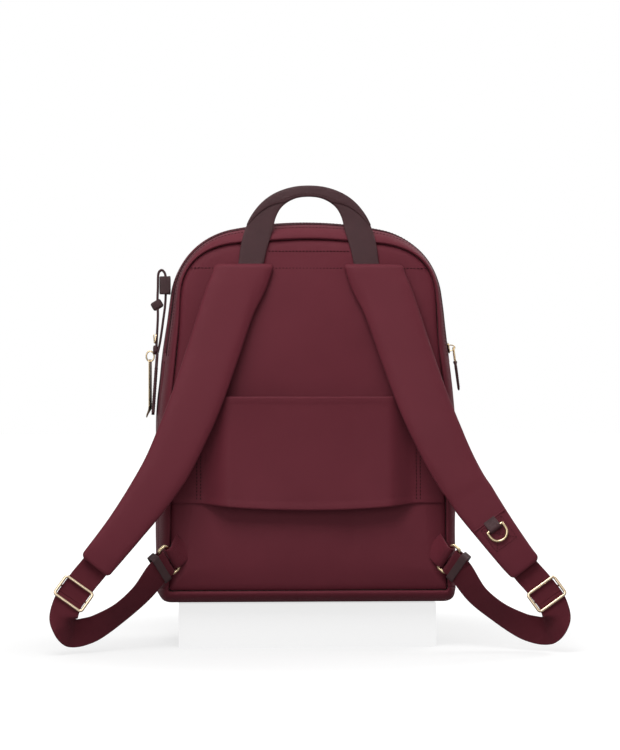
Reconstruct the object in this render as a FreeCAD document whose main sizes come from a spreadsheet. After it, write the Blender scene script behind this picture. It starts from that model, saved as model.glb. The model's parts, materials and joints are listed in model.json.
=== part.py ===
import FreeCAD
import Part
import Sketcher
import math
import os

Vector = FreeCAD.Vector

# Travel backpack, millimetres. +Z is up and the origin is the centre of the base's underside.
# The harness is on the back, at -Y, and the front of the bag faces +Y.

doc = FreeCAD.newDocument("travel_backpack")
sheet = doc.addObject("Spreadsheet::Sheet", "Sizes")


# ---------------------------------------------------------------- driving dimensions

SIZES = (
    # the bag's outline, seen from the back
    ("bag_height", 386.0),
    ("half_width", 153.5),
    ("bag_depth", 145.0),
    ("bottom_radius", 16.0),
    ("straight_height", 170.0),
    ("bulge_radius", 400.0),
    ("side_lean", 7.5),
    ("shoulder_radius", 78.0),
    ("crown_radius", 400.0),
    ("edge_radius", 14.0),
    ("seam_inset", 14.3),
    # cloth, foam and boards
    ("wall", 1.9),
    ("cloth", 1.6),
    ("lining", 0.8),
    ("clearance", 0.3),
    ("foam", 6.4),
    ("board", 1.5),
    ("base_height", 16.0),
    ("fold_height", 170.0),
    # main zip
    ("zip_back", 28.0),
    ("zip_slot", 5.3),
    ("zip_end", 250.0),
    ("coil_width", 1.3),
    # laptop sleeve
    ("sleeve_width", 250.0),
    ("sleeve_height", 230.0),
    ("sleeve_gap", 18.0),
    ("sleeve_wall", 3.0),
    # trolley sleeve
    ("trolley_low", 98.0),
    ("trolley_high", 208.0),
    ("trolley_flat", 78.0),
    ("trolley_foot", 109.0),
    ("trolley_flange", 138.0),
    ("trolley_gap", 15.6),
    # front pocket
    ("pocket_width", 230.0),
    ("pocket_low", 24.0),
    ("pocket_height", 140.0),
    ("pocket_depth", 17.0),
    ("pocket_radius", 14.0),
    ("pocket_zip_height", 118.0),
    # harness
    ("strap_thickness", 9.0),
    ("webbing_width", 28.0),
    ("webbing_thickness", 1.5),
    ("slider_wire", 3.0),
    ("ring_wire", 3.0),
    ("ring_gap", 7.0),
    ("right_drop", 4.0),
    # leather
    ("handle_leather", 3.0),
    ("leather", 1.8),
    # hardware
    ("d_ring_radius", 9.0),
    ("d_ring_wire", 1.4),
    ("tag_width", 36.0),
    ("plate_thickness", 1.2),
)

for row, (name, value) in enumerate(SIZES, start=1):
    sheet.set(f"A{row}", name)
    sheet.set(f"B{row}", str(value))
    sheet.setAlias(f"B{row}", name)
doc.recompute()


class Size:
    """A number and the sheet formula that gives it. Sums and products keep both."""

    def __init__(self, value, formula):
        self.value = float(value)
        self.formula = formula

    def __add__(self, other):
        other = as_size(other)
        return Size(self.value + other.value, f"({self.formula} + {other.formula})")

    def __sub__(self, other):
        other = as_size(other)
        return Size(self.value - other.value, f"({self.formula} - {other.formula})")

    def __mul__(self, factor):
        return Size(self.value * factor, f"({self.formula} * {factor})")

    def __neg__(self):
        return Size(-self.value, f"(0 - {self.formula})")


def as_size(value):
    """A plain number becomes a Size; a Size stays as it is."""
    if isinstance(value, Size):
        return value
    return Size(value, f"({float(value)})")


class Sizes:
    """Every row of the sheet as an attribute, such as sizes.bag_height."""


sizes = Sizes()
for name, value in SIZES:
    setattr(sizes, name, Size(value, "Sizes." + name))

NODES = []


def node(piece, label):
    """Name a finished sub-part, which is then written to a file of that name."""
    piece.Label = label
    NODES.append(piece)
    return piece


# ---------------------------------------------------------------- builders

def box(name, x, y, z):
    """Box between a low and a high Size along each axis, every one bound to the sheet."""
    piece = doc.addObject("Part::Box", name)
    edges = zip("xyz", ("Length", "Width", "Height"), (x, y, z))
    for axis, edge, (low, high) in edges:
        span = as_size(high) - low
        piece.setExpression(edge, span.formula)
        piece.setExpression("Placement.Base." + axis, as_size(low).formula)
    return piece


def boolean(kind, name, base, tool):
    """Part::Cut, Part::Common or Part::Fuse of two pieces."""
    piece = doc.addObject("Part::" + kind, name)
    piece.Base = base
    piece.Tool = tool
    return piece


def placed(piece, origin, across, normal):
    """Place a piece drawn at the origin: its X goes along across and its Z along normal."""
    across = Vector(*across).normalize()
    normal = Vector(*normal)
    normal = (normal - across * normal.dot(across)).normalize()
    up = normal.cross(across)
    piece.Placement = FreeCAD.Placement(Vector(*origin), FreeCAD.Rotation(across, up, normal, "XZY"))
    return piece


def solid(name, shape):
    """Part::Feature for a shape that no primitive or sketch gives."""
    piece = doc.addObject("Part::Feature", name)
    piece.Shape = shape
    return piece


def smooth(rows, position):
    """Catmull-Rom value of a list of rows at a position counted in rows."""
    index = min(int(position), len(rows) - 2)
    part = position - index
    near = rows[index]
    far = rows[index + 1]
    before = rows[max(index - 1, 0)]
    after = rows[min(index + 2, len(rows) - 1)]
    result = []
    for p, a, b, n in zip(before, near, far, after):
        slope_a = (b - p) / 2
        slope_b = (n - a) / 2
        cubic = 2 * a - 2 * b + slope_a + slope_b
        square = 3 * b - 3 * a - 2 * slope_a - slope_b
        result.append(((cubic * part + square) * part + slope_a) * part + a)
    return result


def band(stations, steps, thickness):
    """Solid band through stations of centre x, y, z, across x, y, z, width and thickness
    factor. Each section is a rectangle at right angles to the path."""
    rows = [smooth(stations, i / steps) for i in range((len(stations) - 1) * steps + 1)]
    centres = [Vector(*row[0:3]) for row in rows]
    sections = []
    for i, row in enumerate(rows):
        along = centres[min(i + 1, len(rows) - 1)] - centres[max(i - 1, 0)]
        across = Vector(*row[3:6]).normalize()
        normal = along.cross(across).normalize()
        side = across * (row[6] / 2)
        depth = normal * (thickness * row[7] / 2)
        corners = (side + depth, side - depth, -side - depth, -side + depth, side + depth)
        sections.append(Part.makePolygon([centres[i] + corner for corner in corners]))
    return Part.makeLoft(sections, True, True)


# ---------------------------------------------------------------- the bag's outline

def outline_points(inset):
    """Points and middles of the right half of the outline, moved inward by inset:
    bottom corner, straight side, bulge, leaning side, shoulder and crown."""
    half = sizes.half_width.value - inset
    bottom = max(sizes.bottom_radius.value - inset, 2.0)
    bulge = sizes.bulge_radius.value - inset
    shoulder = sizes.shoulder_radius.value - inset
    crown = sizes.crown_radius.value - inset
    lean = math.radians(sizes.side_lean.value)
    straight = sizes.straight_height.value
    height = sizes.bag_height.value

    out = Vector(math.cos(lean), math.sin(lean))
    rise = Vector(-math.sin(lean), math.cos(lean))
    bulge_centre = Vector(half - bulge, straight)
    bulge_top = bulge_centre + out * bulge
    crown_centre = Vector(0, height - sizes.crown_radius.value)

    # the shoulder's centre is on a line at `shoulder` from the leaning side, and at
    # crown - shoulder from the crown's centre
    start = bulge_top - out * shoulder - crown_centre
    reach = crown - shoulder
    half_b = start.dot(rise)
    run = -half_b + math.sqrt(half_b * half_b - start.dot(start) + reach * reach)
    shoulder_centre = crown_centre + start + rise * run
    side_top = shoulder_centre + out * shoulder
    toward = (shoulder_centre - crown_centre).normalize()
    crown_end = crown_centre + toward * crown

    def on_arc(centre, radius, direction):
        return centre + direction.normalize() * radius

    corner_centre = Vector(half - bottom, inset + bottom)
    return {
        "base": Vector(half - bottom, inset),
        "corner_mid": on_arc(corner_centre, bottom, Vector(1, -1)),
        "corner": Vector(half, inset + bottom),
        "straight": Vector(half, straight),
        "bulge_mid": on_arc(bulge_centre, bulge, Vector(math.cos(lean / 2), math.sin(lean / 2))),
        "bulge": bulge_top,
        "side_top": side_top,
        "shoulder_mid": on_arc(shoulder_centre, shoulder, out + toward),
        "crown_end": crown_end,
        "crown": crown_centre + Vector(0, crown),
    }


def draw_outline(sketch, inset):
    """Closed outline of lines and tangent arcs, its dimensions bound to the sheet."""
    right = outline_points(inset.value)
    left = {key: Vector(-point.x, point.y) for key, point in right.items()}

    def line(start, end):
        return sketch.addGeometry(Part.LineSegment(start, end), False)

    def arc(start, middle, end):
        return sketch.addGeometry(Part.Arc(start, middle, end), False)

    base = line(left["base"], right["base"])
    corner_r = arc(right["base"], right["corner_mid"], right["corner"])
    side_r = line(right["corner"], right["straight"])
    bulge_r = arc(right["straight"], right["bulge_mid"], right["bulge"])
    lean_r = line(right["bulge"], right["side_top"])
    shoulder_r = arc(right["side_top"], right["shoulder_mid"], right["crown_end"])
    crown = arc(right["crown_end"], right["crown"], left["crown_end"])
    shoulder_l = arc(left["crown_end"], left["shoulder_mid"], left["side_top"])
    lean_l = line(left["side_top"], left["bulge"])
    bulge_l = arc(left["bulge"], left["bulge_mid"], left["straight"])
    side_l = line(left["straight"], left["corner"])
    corner_l = arc(left["corner"], left["corner_mid"], left["base"])

    loop = (base, corner_r, side_r, bulge_r, lean_r, shoulder_r, crown,
            shoulder_l, lean_l, bulge_l, side_l, corner_l)
    START, END, CENTRE = 1, 2, 3
    for i, piece in enumerate(loop):
        follower = loop[(i + 1) % len(loop)]
        sketch.addConstraint(Sketcher.Constraint("Tangent", piece, END, follower, START))
    sketch.addConstraint(Sketcher.Constraint("Horizontal", base))
    sketch.addConstraint(Sketcher.Constraint("Vertical", side_r))
    sketch.addConstraint(Sketcher.Constraint("Vertical", side_l))
    sketch.addConstraint(Sketcher.Constraint("PointOnObject", crown, CENTRE, -2))

    def dimension(name, target, *constraint):
        number = sketch.addConstraint(Sketcher.Constraint(*constraint, target.value))
        sketch.renameConstraint(number, name)
        sketch.setExpression("Constraints." + name, target.formula)

    corner_radius = Size(max(sizes.bottom_radius.value - inset.value, 2.0),
                         f"max({(sizes.bottom_radius - inset).formula}; 2)")
    half = sizes.half_width - inset
    dimension("half_right", half, "DistanceX", -1, START, side_r, START)
    dimension("half_left", half, "DistanceX", side_l, START, -1, START)
    if inset.value:
        dimension("floor", inset, "DistanceY", -1, START, base, START)
    else:
        sketch.addConstraint(Sketcher.Constraint("PointOnObject", base, START, -1))
    dimension("straight_right", sizes.straight_height, "DistanceY", -1, START, side_r, END)
    dimension("straight_left", sizes.straight_height, "DistanceY", -1, START, side_l, START)
    crown_centre = sizes.bag_height - sizes.crown_radius
    if crown_centre.value < 0:
        dimension("crown_centre", -crown_centre, "DistanceY", crown, CENTRE, -1, START)
    else:
        dimension("crown_centre", crown_centre, "DistanceY", -1, START, crown, CENTRE)
    dimension("lean", sizes.side_lean, "Angle", side_r, lean_r)
    dimension("lean_left", sizes.side_lean, "Angle", lean_l, side_l)
    for name, piece, target in (
        ("corner_radius_right", corner_r, corner_radius),
        ("corner_radius_left", corner_l, corner_radius),
        ("bulge_radius_right", bulge_r, sizes.bulge_radius - inset),
        ("bulge_radius_left", bulge_l, sizes.bulge_radius - inset),
        ("shoulder_radius_right", shoulder_r, sizes.shoulder_radius - inset),
        ("shoulder_radius_left", shoulder_l, sizes.shoulder_radius - inset),
        ("crown_radius", crown, sizes.crown_radius - inset),
    ):
        dimension(name, target, "Radius", piece)


def origin_plane(body, role):
    """One of a body's own origin planes, such as XZ_Plane."""
    for feature in body.Origin.OriginFeatures:
        if feature.Role == role:
            return feature
    raise ValueError(role)


def edges_at(shape, depth):
    """Names of a shape's edges that lie wholly in the plane y = depth."""
    names = []
    for number, edge in enumerate(shape.Edges, start=1):
        bounds = edge.BoundBox
        if abs(bounds.YMin - depth) < 1e-4 and abs(bounds.YMax - depth) < 1e-4:
            names.append(f"Edge{number}")
    return names


def outline_body(name, inset, back, front, back_radius=None, front_radius=None):
    """The bag's outline, moved inward by inset and padded from back to front along Y,
    with its back and front edges rounded."""
    inset = as_size(inset)
    depth = front - back
    body = doc.addObject("PartDesign::Body", name)
    sketch = body.newObject("Sketcher::SketchObject", name + "_outline")
    sketch.AttachmentSupport = (origin_plane(body, "XZ_Plane"), [""])
    sketch.MapMode = "FlatFace"
    draw_outline(sketch, inset)
    pad = body.newObject("PartDesign::Pad", name + "_pad")
    pad.Profile = sketch
    pad.Reversed = True
    pad.setExpression("Length", depth.formula)
    sketch.Visibility = False
    doc.recompute()
    tip = pad
    for radius, plane in ((back_radius, 0.0), (front_radius, depth.value)):
        if radius is None:
            continue
        fillet = body.newObject("PartDesign::Fillet", f"{name}_fillet_{len(body.Group)}")
        fillet.Base = (tip, edges_at(tip.Shape, plane))
        fillet.setExpression("Radius", radius.formula)
        doc.recompute()
        tip = fillet
    body.setExpression("Placement.Base.y", back.formula)
    return body


# ---------------------------------------------------------------- planes of the bag

beyond = Size(600, "600")
back_plane = sizes.bag_depth * -0.5
front_plane = sizes.bag_depth * 0.5
zip_plane = back_plane + sizes.zip_back
zip_top_start = sizes.zip_end + sizes.clearance
fold_start = sizes.fold_height + sizes.clearance
everywhere = (-beyond, beyond)


# ---------------------------------------------------------------- shell of the bag

# The shell is the outline form less the same form moved inward by one wall. The back and
# front panels are let into it inside their seams.
outer_form = outline_body("outer_form", 0, back_plane, front_plane,
                          sizes.edge_radius, sizes.edge_radius)
inner_form = outline_body("inner_form", sizes.wall, back_plane + sizes.wall,
                          front_plane - sizes.wall, sizes.edge_radius - sizes.wall,
                          sizes.edge_radius - sizes.wall)
shell = boolean("Cut", "shell", outer_form, inner_form)
back_hole = outline_body("back_hole", sizes.seam_inset, back_plane - 1, back_plane + sizes.wall + 1)
front_hole = outline_body("front_hole", sizes.seam_inset, front_plane - sizes.wall - 1,
                          front_plane + 1)
shell_back_open = boolean("Cut", "shell_back_open", shell, back_hole)
gusset_form = boolean("Cut", "gusset_form", shell_back_open, front_hole)

back_panel = outline_body("back_panel_cloth", sizes.seam_inset, back_plane,
                          back_plane + sizes.cloth)
node(back_panel, "back_panel")
foam_start = back_plane + sizes.wall + sizes.clearance
back_foam = outline_body("back_foam_pad", sizes.seam_inset + 4, foam_start,
                         foam_start + sizes.foam)
node(back_foam, "back_foam")
board_start = foam_start + sizes.foam + sizes.clearance
back_board = outline_body("back_board_sheet", sizes.seam_inset + 6, board_start,
                          board_start + sizes.board)
node(back_board, "back_board")

# Behind the zip: the back gusset, one cloth from the base up one side, over and down.
low_back = box("low_back", everywhere, (-beyond, zip_plane), (sizes.base_height, sizes.zip_end))
high_back = box("high_back", everywhere, (-beyond, zip_plane - sizes.zip_slot),
                (sizes.zip_end, beyond))
back_region = boolean("Fuse", "back_region", low_back, high_back)
node(boolean("Common", "back_gusset_cloth", gusset_form, back_region), "back_gusset")

# In front of the zip and below the fold: one gusset on each side.
for label, x_range in (("left", (-beyond, 0)), ("right", (0, beyond))):
    region = box("side_region_" + label, x_range, (zip_plane, beyond),
                 (sizes.base_height, sizes.fold_height))
    side = boolean("Common", "side_gusset_cloth_" + label, gusset_form, region)
    node(side, "side_gusset_" + label)

base_region = box("base_region", everywhere, everywhere, (-beyond, sizes.base_height))
node(boolean("Common", "base_cloth", gusset_form, base_region), "base_panel")

# Between the fold and the ends of the zip the front cloth crumples when the flap opens.
fold_region = box("fold_region", everywhere, (zip_plane + sizes.clearance, beyond),
                  (fold_start, sizes.zip_end))
node(boolean("Common", "fold_gusset_cloth", gusset_form, fold_region), "fold_gusset")

# In front of the zip and above its ends: the flap.
flap_region = box("flap_region", everywhere, (zip_plane + sizes.zip_slot, beyond),
                  (zip_top_start, beyond))
node(boolean("Common", "flap_gusset_cloth", gusset_form, flap_region), "front_gusset_upper")

front_panel = outline_body("front_panel_cloth", sizes.seam_inset, front_plane - sizes.cloth,
                           front_plane)
low_region = box("low_region", everywhere, everywhere, (-beyond, sizes.fold_height))
fold_band = box("fold_band", everywhere, everywhere, (fold_start, sizes.zip_end))
high_region = box("high_region", everywhere, everywhere, (zip_top_start, beyond))
node(boolean("Common", "front_low", front_panel, low_region), "front_panel_lower")
node(boolean("Common", "front_fold", front_panel, fold_band), "fold_panel")
node(boolean("Common", "front_high", front_panel, high_region), "front_panel_upper")


# ---------------------------------------------------------------- main zip

# Tapes and coils are rings of the same outline, a little below the cloth's surface.
slot_back = zip_plane - sizes.zip_slot
slot_front = zip_plane + sizes.zip_slot
coil_back = zip_plane - sizes.clearance * 0.5
coil_front = zip_plane + sizes.clearance * 0.5


def zip_ring(name, inset, thickness):
    """Closed ring of the outline across the zip's slot."""
    outside = outline_body(name + "_outside", inset, slot_back, slot_front)
    inside = outline_body(name + "_inside", inset + thickness, slot_back - 1, slot_front + 1)
    return boolean("Cut", name, outside, inside)


tape_ring = zip_ring("tape_ring", Size(0.6, "0.6"), 1.0)
coil_ring = zip_ring("coil_ring", Size(0.3, "0.3"), 1.6)
for label, ring, y_range in (
    ("zip_tape_back", tape_ring, (slot_back, coil_back - sizes.coil_width)),
    ("zip_coil_back", coil_ring, (coil_back - sizes.coil_width, coil_back)),
    ("zip_coil_front", coil_ring, (coil_front, coil_front + sizes.coil_width)),
    ("zip_tape_front", tape_ring, (coil_front + sizes.coil_width, slot_front)),
):
    region = box(label + "_region", everywhere, y_range, (zip_top_start, beyond))
    node(boolean("Common", label + "_strip", ring, region), label)


# ---------------------------------------------------------------- lining and what is inside

lining_inset = sizes.wall + sizes.clearance
lining_back = board_start + sizes.board + sizes.clearance
lining_front = front_plane - sizes.wall - sizes.clearance
lining_radius = sizes.edge_radius - lining_inset
lining_corner = Size(3, "3")
lining_outside = outline_body("lining_outside", lining_inset, lining_back, lining_front,
                              lining_corner, lining_radius)
lining_inside = outline_body("lining_inside", lining_inset + sizes.lining,
                             lining_back + sizes.lining, lining_front - sizes.lining,
                             lining_corner - sizes.lining, lining_radius - sizes.lining)
lining_skin = boolean("Cut", "lining_skin", lining_outside, lining_inside)
lining_low = box("lining_low", everywhere, everywhere, (-beyond, sizes.fold_height))
lining_middle = box("lining_middle", everywhere, (-beyond, zip_plane), (0, sizes.zip_end))
lining_high = box("lining_high", everywhere, (-beyond, slot_back), (0, beyond))
lining_lower_region = boolean("Fuse", "lining_lower_region", lining_low, lining_middle)
lining_region = boolean("Fuse", "lining_region", lining_lower_region, lining_high)
node(boolean("Common", "lining_main_cloth", lining_skin, lining_region), "lining_main")
node(boolean("Common", "lining_fold_cloth", lining_skin, fold_region), "lining_fold")
node(boolean("Common", "lining_upper_cloth", lining_skin, flap_region), "lining_upper")

inside_floor = lining_inset + sizes.lining + sizes.clearance
base_board_top = inside_floor + sizes.board
base_board = box("base_board_sheet", (-sizes.half_width + 20, sizes.half_width - 20),
                 (lining_back + 5, lining_front - 14), (inside_floor, base_board_top))
node(base_board, "base_board")

sleeve_half = sizes.sleeve_width * 0.5
sleeve_back = lining_back + sizes.lining
sleeve_front = sleeve_back + sizes.sleeve_gap + sizes.sleeve_wall
sleeve_floor = base_board_top + sizes.clearance
sleeve_block = box("sleeve_block", (-sleeve_half - sizes.sleeve_wall, sleeve_half + sizes.sleeve_wall),
                   (sleeve_back, sleeve_front), (sleeve_floor, sleeve_floor + sizes.sleeve_height))
sleeve_space = box("sleeve_space", (-sleeve_half, sleeve_half),
                   (sleeve_back - 1, sleeve_front - sizes.sleeve_wall),
                   (sleeve_floor + sizes.sleeve_wall, sleeve_floor + sizes.sleeve_height + 1))
node(boolean("Cut", "sleeve_pocket", sleeve_block, sleeve_space), "laptop_sleeve")


# ---------------------------------------------------------------- trolley sleeve

# A band of cloth sewn to the back panel by a flange on each side. Its middle stands off the
# panel, so that a case's handle passes through from below.
trolley = doc.addObject("PartDesign::Body", "trolley_band")
trolley_sketch = trolley.newObject("Sketcher::SketchObject", "trolley_profile")
trolley_sketch.AttachmentSupport = (origin_plane(trolley, "XY_Plane"), [""])
trolley_sketch.MapMode = "FlatFace"
flange = sizes.trolley_flange
foot = sizes.trolley_foot
flat = sizes.trolley_flat
gap = sizes.trolley_gap
cloth = sizes.cloth
panel = Size(0, "0")
profile = (
    (-flange, panel), (-foot + cloth, panel), (-flat, -gap), (flat, -gap), (foot - cloth, panel),
    (flange, panel), (flange, -cloth), (foot, -cloth), (flat + cloth, -gap - cloth),
    (-flat - cloth, -gap - cloth), (-foot, -cloth), (-flange, -cloth),
)
for i, (x, y) in enumerate(profile):
    next_x, next_y = profile[(i + 1) % len(profile)]
    start = Vector(x.value, y.value)
    trolley_sketch.addGeometry(Part.LineSegment(start, Vector(next_x.value, next_y.value)), False)
for i, (x, y) in enumerate(profile):
    follower = (i + 1) % len(profile)
    trolley_sketch.addConstraint(Sketcher.Constraint("Coincident", i, 2, follower, 1))
for i, (x, y) in enumerate(profile):
    for kind, coordinate in (("DistanceX", x), ("DistanceY", y)):
        value = coordinate.value
        if abs(value) < 1e-9:
            trolley_sketch.addConstraint(Sketcher.Constraint("PointOnObject", i, 1, -1))
            continue
        forward = value > 0
        ends = (-1, 1, i, 1) if forward else (i, 1, -1, 1)
        number = trolley_sketch.addConstraint(Sketcher.Constraint(kind, *ends, abs(value)))
        trolley_sketch.renameConstraint(number, f"{kind}_{i}")
        formula = coordinate.formula if forward else (-coordinate).formula
        trolley_sketch.setExpression(f"Constraints.{kind}_{i}", formula)
trolley_pad = trolley.newObject("PartDesign::Pad", "trolley_pad")
trolley_pad.Profile = trolley_sketch
trolley_pad.setExpression("Length", (sizes.trolley_high - sizes.trolley_low).formula)
trolley.setExpression("Placement.Base.y", back_plane.formula)
trolley.setExpression("Placement.Base.z", sizes.trolley_low.formula)
node(trolley, "trolley_sleeve")


# ---------------------------------------------------------------- front pocket and its zip

pocket_half = sizes.pocket_width * 0.5
pocket_high = sizes.pocket_low + sizes.pocket_height
pocket_front = front_plane + sizes.pocket_depth


def pocket_form(name, inset, back, front):
    """Rounded block of the pocket, moved inward by inset."""
    block = box(name + "_block", (-pocket_half + inset, pocket_half - inset), (back, front),
                (sizes.pocket_low + inset, pocket_high - inset))
    doc.recompute()
    radius = sizes.pocket_radius - inset
    fillet = doc.addObject("Part::Fillet", name)
    fillet.Base = block
    rounded = []
    for number, edge in enumerate(block.Shape.Edges, start=1):
        bounds = edge.BoundBox
        in_front = abs(bounds.YMin - front.value) < 1e-4
        across_depth = bounds.YMax - bounds.YMin > 1
        if across_depth or in_front:
            edge_radius = radius.value if across_depth else radius.value - 4
            rounded.append((number, edge_radius, edge_radius))
    fillet.Edges = rounded
    return fillet


pocket_outside = pocket_form("pocket_outside", Size(0, "0"), front_plane, pocket_front)
pocket_inside = pocket_form("pocket_inside", sizes.cloth, front_plane - 1,
                            pocket_front - sizes.cloth)
pocket_shell = boolean("Cut", "pocket_shell", pocket_outside, pocket_inside)
slit_low = sizes.pocket_low + sizes.pocket_zip_height
slit_high = slit_low + sizes.zip_slot * 2
slit_half = pocket_half - 12
pocket_slit = box("pocket_slit", (-slit_half, slit_half), (pocket_front - 5, pocket_front + 5),
                  (slit_low, slit_high))
node(boolean("Cut", "pocket_cloth", pocket_shell, pocket_slit), "front_pocket")

pocket_tape_front = pocket_front - 0.4
coil_low = slit_low + sizes.zip_slot - sizes.coil_width
coil_high = slit_low + sizes.zip_slot + sizes.coil_width
tape_block = box("tape_block", (-slit_half, slit_half), (pocket_tape_front - 1, pocket_tape_front),
                 (slit_low, slit_high))
tape_slot = box("tape_slot", (-slit_half + 3, slit_half - 3), (pocket_front - 5, pocket_front + 5),
                (coil_low, coil_high))
node(boolean("Cut", "pocket_tape", tape_block, tape_slot), "pocket_zip_tape")
pocket_coil = box("pocket_coil", (-slit_half + 3, slit_half - 3),
                  (pocket_front - 1.6, pocket_front - 0.2), (coil_low, coil_high))
node(pocket_coil, "pocket_zip_coil")


# ---------------------------------------------------------------- zip sliders and pulls

def zip_slider(name, label, origin, along, outward, bail_half):
    """Slider plate with a bail on it. X runs across the zip, Y outward, Z along it.
    bail_half is the bail's half-size across and along; its hole goes through the smaller."""
    plate = box(name + "_plate", (-4, 4), (0, 1.8), (-5.5, 5.5))
    bail_x, bail_z = bail_half
    hole_x, hole_z = (half + 1 if half == min(bail_half) else half - 1.6 for half in bail_half)
    bail = box(name + "_bail", (-bail_x, bail_x), (1.8, 5), (-bail_z, bail_z))
    hole = box(name + "_hole", (-hole_x, hole_x), (1.8, 3.8), (-hole_z, hole_z))
    arch = boolean("Cut", name + "_arch", bail, hole)
    slider = boolean("Fuse", name, plate, arch)
    across = Vector(*outward).cross(Vector(*along))
    placed(slider, origin, across, along)
    return node(slider, label)


def zip_pull(name, label, origin, down, outward, ring_length, tongue_length, tongue_width):
    """Oval ring through the bail, and a leather tongue that tapers to its end."""
    down = Vector(*down).normalize()
    outward = Vector(*outward).normalize()
    across = outward.cross(down)
    origin = Vector(*origin)
    wire = 0.75
    half = 3.6
    low = origin + down * (ring_length - half)
    top = origin + down * half
    top_arc = Part.Arc(top + across * half, top - down * half, top - across * half)
    low_arc = Part.Arc(low - across * half, low + down * half, low + across * half)
    sides = (Part.LineSegment(top - across * half, low - across * half),
             Part.LineSegment(low + across * half, top + across * half))
    path = Part.Wire([top_arc.toShape(), sides[0].toShape(), low_arc.toShape(), sides[1].toShape()])
    circle = Part.Wire([Part.Circle(top + across * half, down, wire).toShape()])
    ring = path.makePipeShell([circle], True, False)
    start = low + down * (half - wire - 1.6)
    rows = []
    for share, width in ((0, 0.75), (0.25, 1.0), (0.75, 0.85), (1, 0.6)):
        centre = start + down * (tongue_length * share)
        rows.append((*centre, *across, tongue_width * width, 1.0))
    tongue = band(rows, 3, 2.2)
    eye = Part.makeCylinder(wire + 0.1, 30, low + down * half - across * 15, across)
    tongue = tongue.cut(ring).cut(eye)
    tongue = max(tongue.Solids, key=lambda part: part.Volume)
    return node(solid(name, Part.makeCompound([ring, tongue])), label)


lean = math.radians(sizes.side_lean.value)
side = outline_points(0)
side_start = side["bulge"]
side_run = (side["side_top"] - side_start).normalize()
side_out = (math.cos(lean), 0, math.sin(lean))
side_down = (math.sin(lean), 0, -math.cos(lean))
slider_height = sizes.zip_end.value + 7
slider_x = side_start.x + side_run.x * (slider_height - side_start.y) / side_run.y
stand_off = 0.2
slider_at = (slider_x + side_out[0] * stand_off, zip_plane.value,
             slider_height + side_out[2] * stand_off)
side_up = (-side_down[0], 0, -side_down[2])
zip_slider("main_slider", "main_zip_slider", slider_at, side_up, side_out, (1.2, 4.0))
bail_height = 2.8
pull_at = tuple(slider_at[i] + side_out[i] * bail_height for i in range(3))
zip_pull("main_pull", "main_zip_pull", pull_at, side_down, side_out, 16.0, 30.0, 9.0)

pocket_slider_at = (-slit_half.value + 12, pocket_front.value + stand_off,
                    slit_low.value + sizes.zip_slot.value)
zip_slider("pocket_slider", "pocket_zip_slider", pocket_slider_at, (1, 0, 0), (0, 1, 0),
           (4.0, 1.2))
pocket_pull_at = (pocket_slider_at[0], pocket_slider_at[1] + bail_height, pocket_slider_at[2])
zip_pull("pocket_pull", "pocket_zip_pull", pocket_pull_at, (0, 0, -1), (0, 1, 0), 14.0, 24.0, 8.0)


# ---------------------------------------------------------------- top handle

# A leather band whose ends lie on the back panel above the straps. It is folded double along
# its middle, so it is narrow and thick there.
handle_y = back_plane.value - sizes.clearance.value - sizes.handle_leather.value / 2
top = sizes.bag_height.value
handle_half = (
    (58.0, top - 42.5, 28.0, 1.0),
    (55.0, top - 27.0, 28.0, 1.0),
    (48.5, top - 8.0, 26.0, 1.0),
    (42.0, top + 6.0, 21.0, 1.2),
    (33.0, top + 16.5, 16.0, 1.7),
    (21.0, top + 23.5, 12.5, 2.3),
    (8.0, top + 26.8, 11.0, 2.6),
)
handle_line = [(-x, z, width, factor) for x, z, width, factor in handle_half]
handle_line += handle_half[::-1]
handle_rows = []
for i, (x, z, width, factor) in enumerate(handle_line):
    behind = handle_line[max(i - 1, 0)]
    ahead = handle_line[min(i + 1, len(handle_line) - 1)]
    across = (behind[1] - ahead[1], 0, ahead[0] - behind[0])
    if i in (0, len(handle_line) - 1):
        across = (math.copysign(1, x), 0, 0)
    length = math.hypot(across[0], across[2])
    handle_rows.append((x, handle_y, z, across[0] / length, 0, across[2] / length, width, factor))
node(solid("handle_leather_band", band(handle_rows, 4, sizes.handle_leather.value)), "top_handle")


# ---------------------------------------------------------------- shoulder straps

# Centre line of the right strap, from its seam below the handle to its rounded end:
# x, y from the back panel's face, z and width. The left one is its mirror image, and the
# right one hangs a little lower.
strap_line = (
    (64.0, -4.5, 341.0, 58.0),
    (70.0, -6.0, 322.0, 57.0),
    (80.6, -9.0, 298.0, 55.0),
    (96.0, -15.5, 252.0, 54.0),
    (112.0, -23.5, 206.0, 53.0),
    (126.5, -30.0, 171.0, 51.0),
    (142.2, -35.5, 138.0, 48.0),
    (161.0, -41.0, 108.5, 44.0),
    (180.3, -45.5, 82.0, 39.5),
    (196.5, -48.0, 61.0, 36.5),
    (212.0, -49.5, 41.5, 34.0),
)


def lowered(drop, z):
    """How far a harness point at height z hangs below its mirror image."""
    if z > 40:
        return drop * max(0.0, (140 - z) / 100)
    return drop * (z + 25) / 65


def strap_rows(sign, drop, narrower):
    """Stations of one strap for band(), each narrower by the given width."""
    line = [(sign * x, back_plane.value + y, z - lowered(drop, z), width)
            for x, y, z, width in strap_line]
    rows = []
    for i, (x, y, z, width) in enumerate(line):
        behind = line[max(i - 1, 0)]
        ahead = line[min(i + 1, len(line) - 1)]
        across = Vector(ahead[2] - behind[2], 0, behind[0] - ahead[0]).normalize()
        if i == 0:
            across = Vector(-1, 0, 0)
        rows.append((x, y, z, *across, width - narrower, 1.0))
    return rows


def trimmed(rows, share):
    """The same stations with the first and last moved inward by a share of their run."""
    last = len(rows) - 1
    return [smooth(rows, share)] + list(rows[1:-1]) + [smooth(rows, last - share)]


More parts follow.
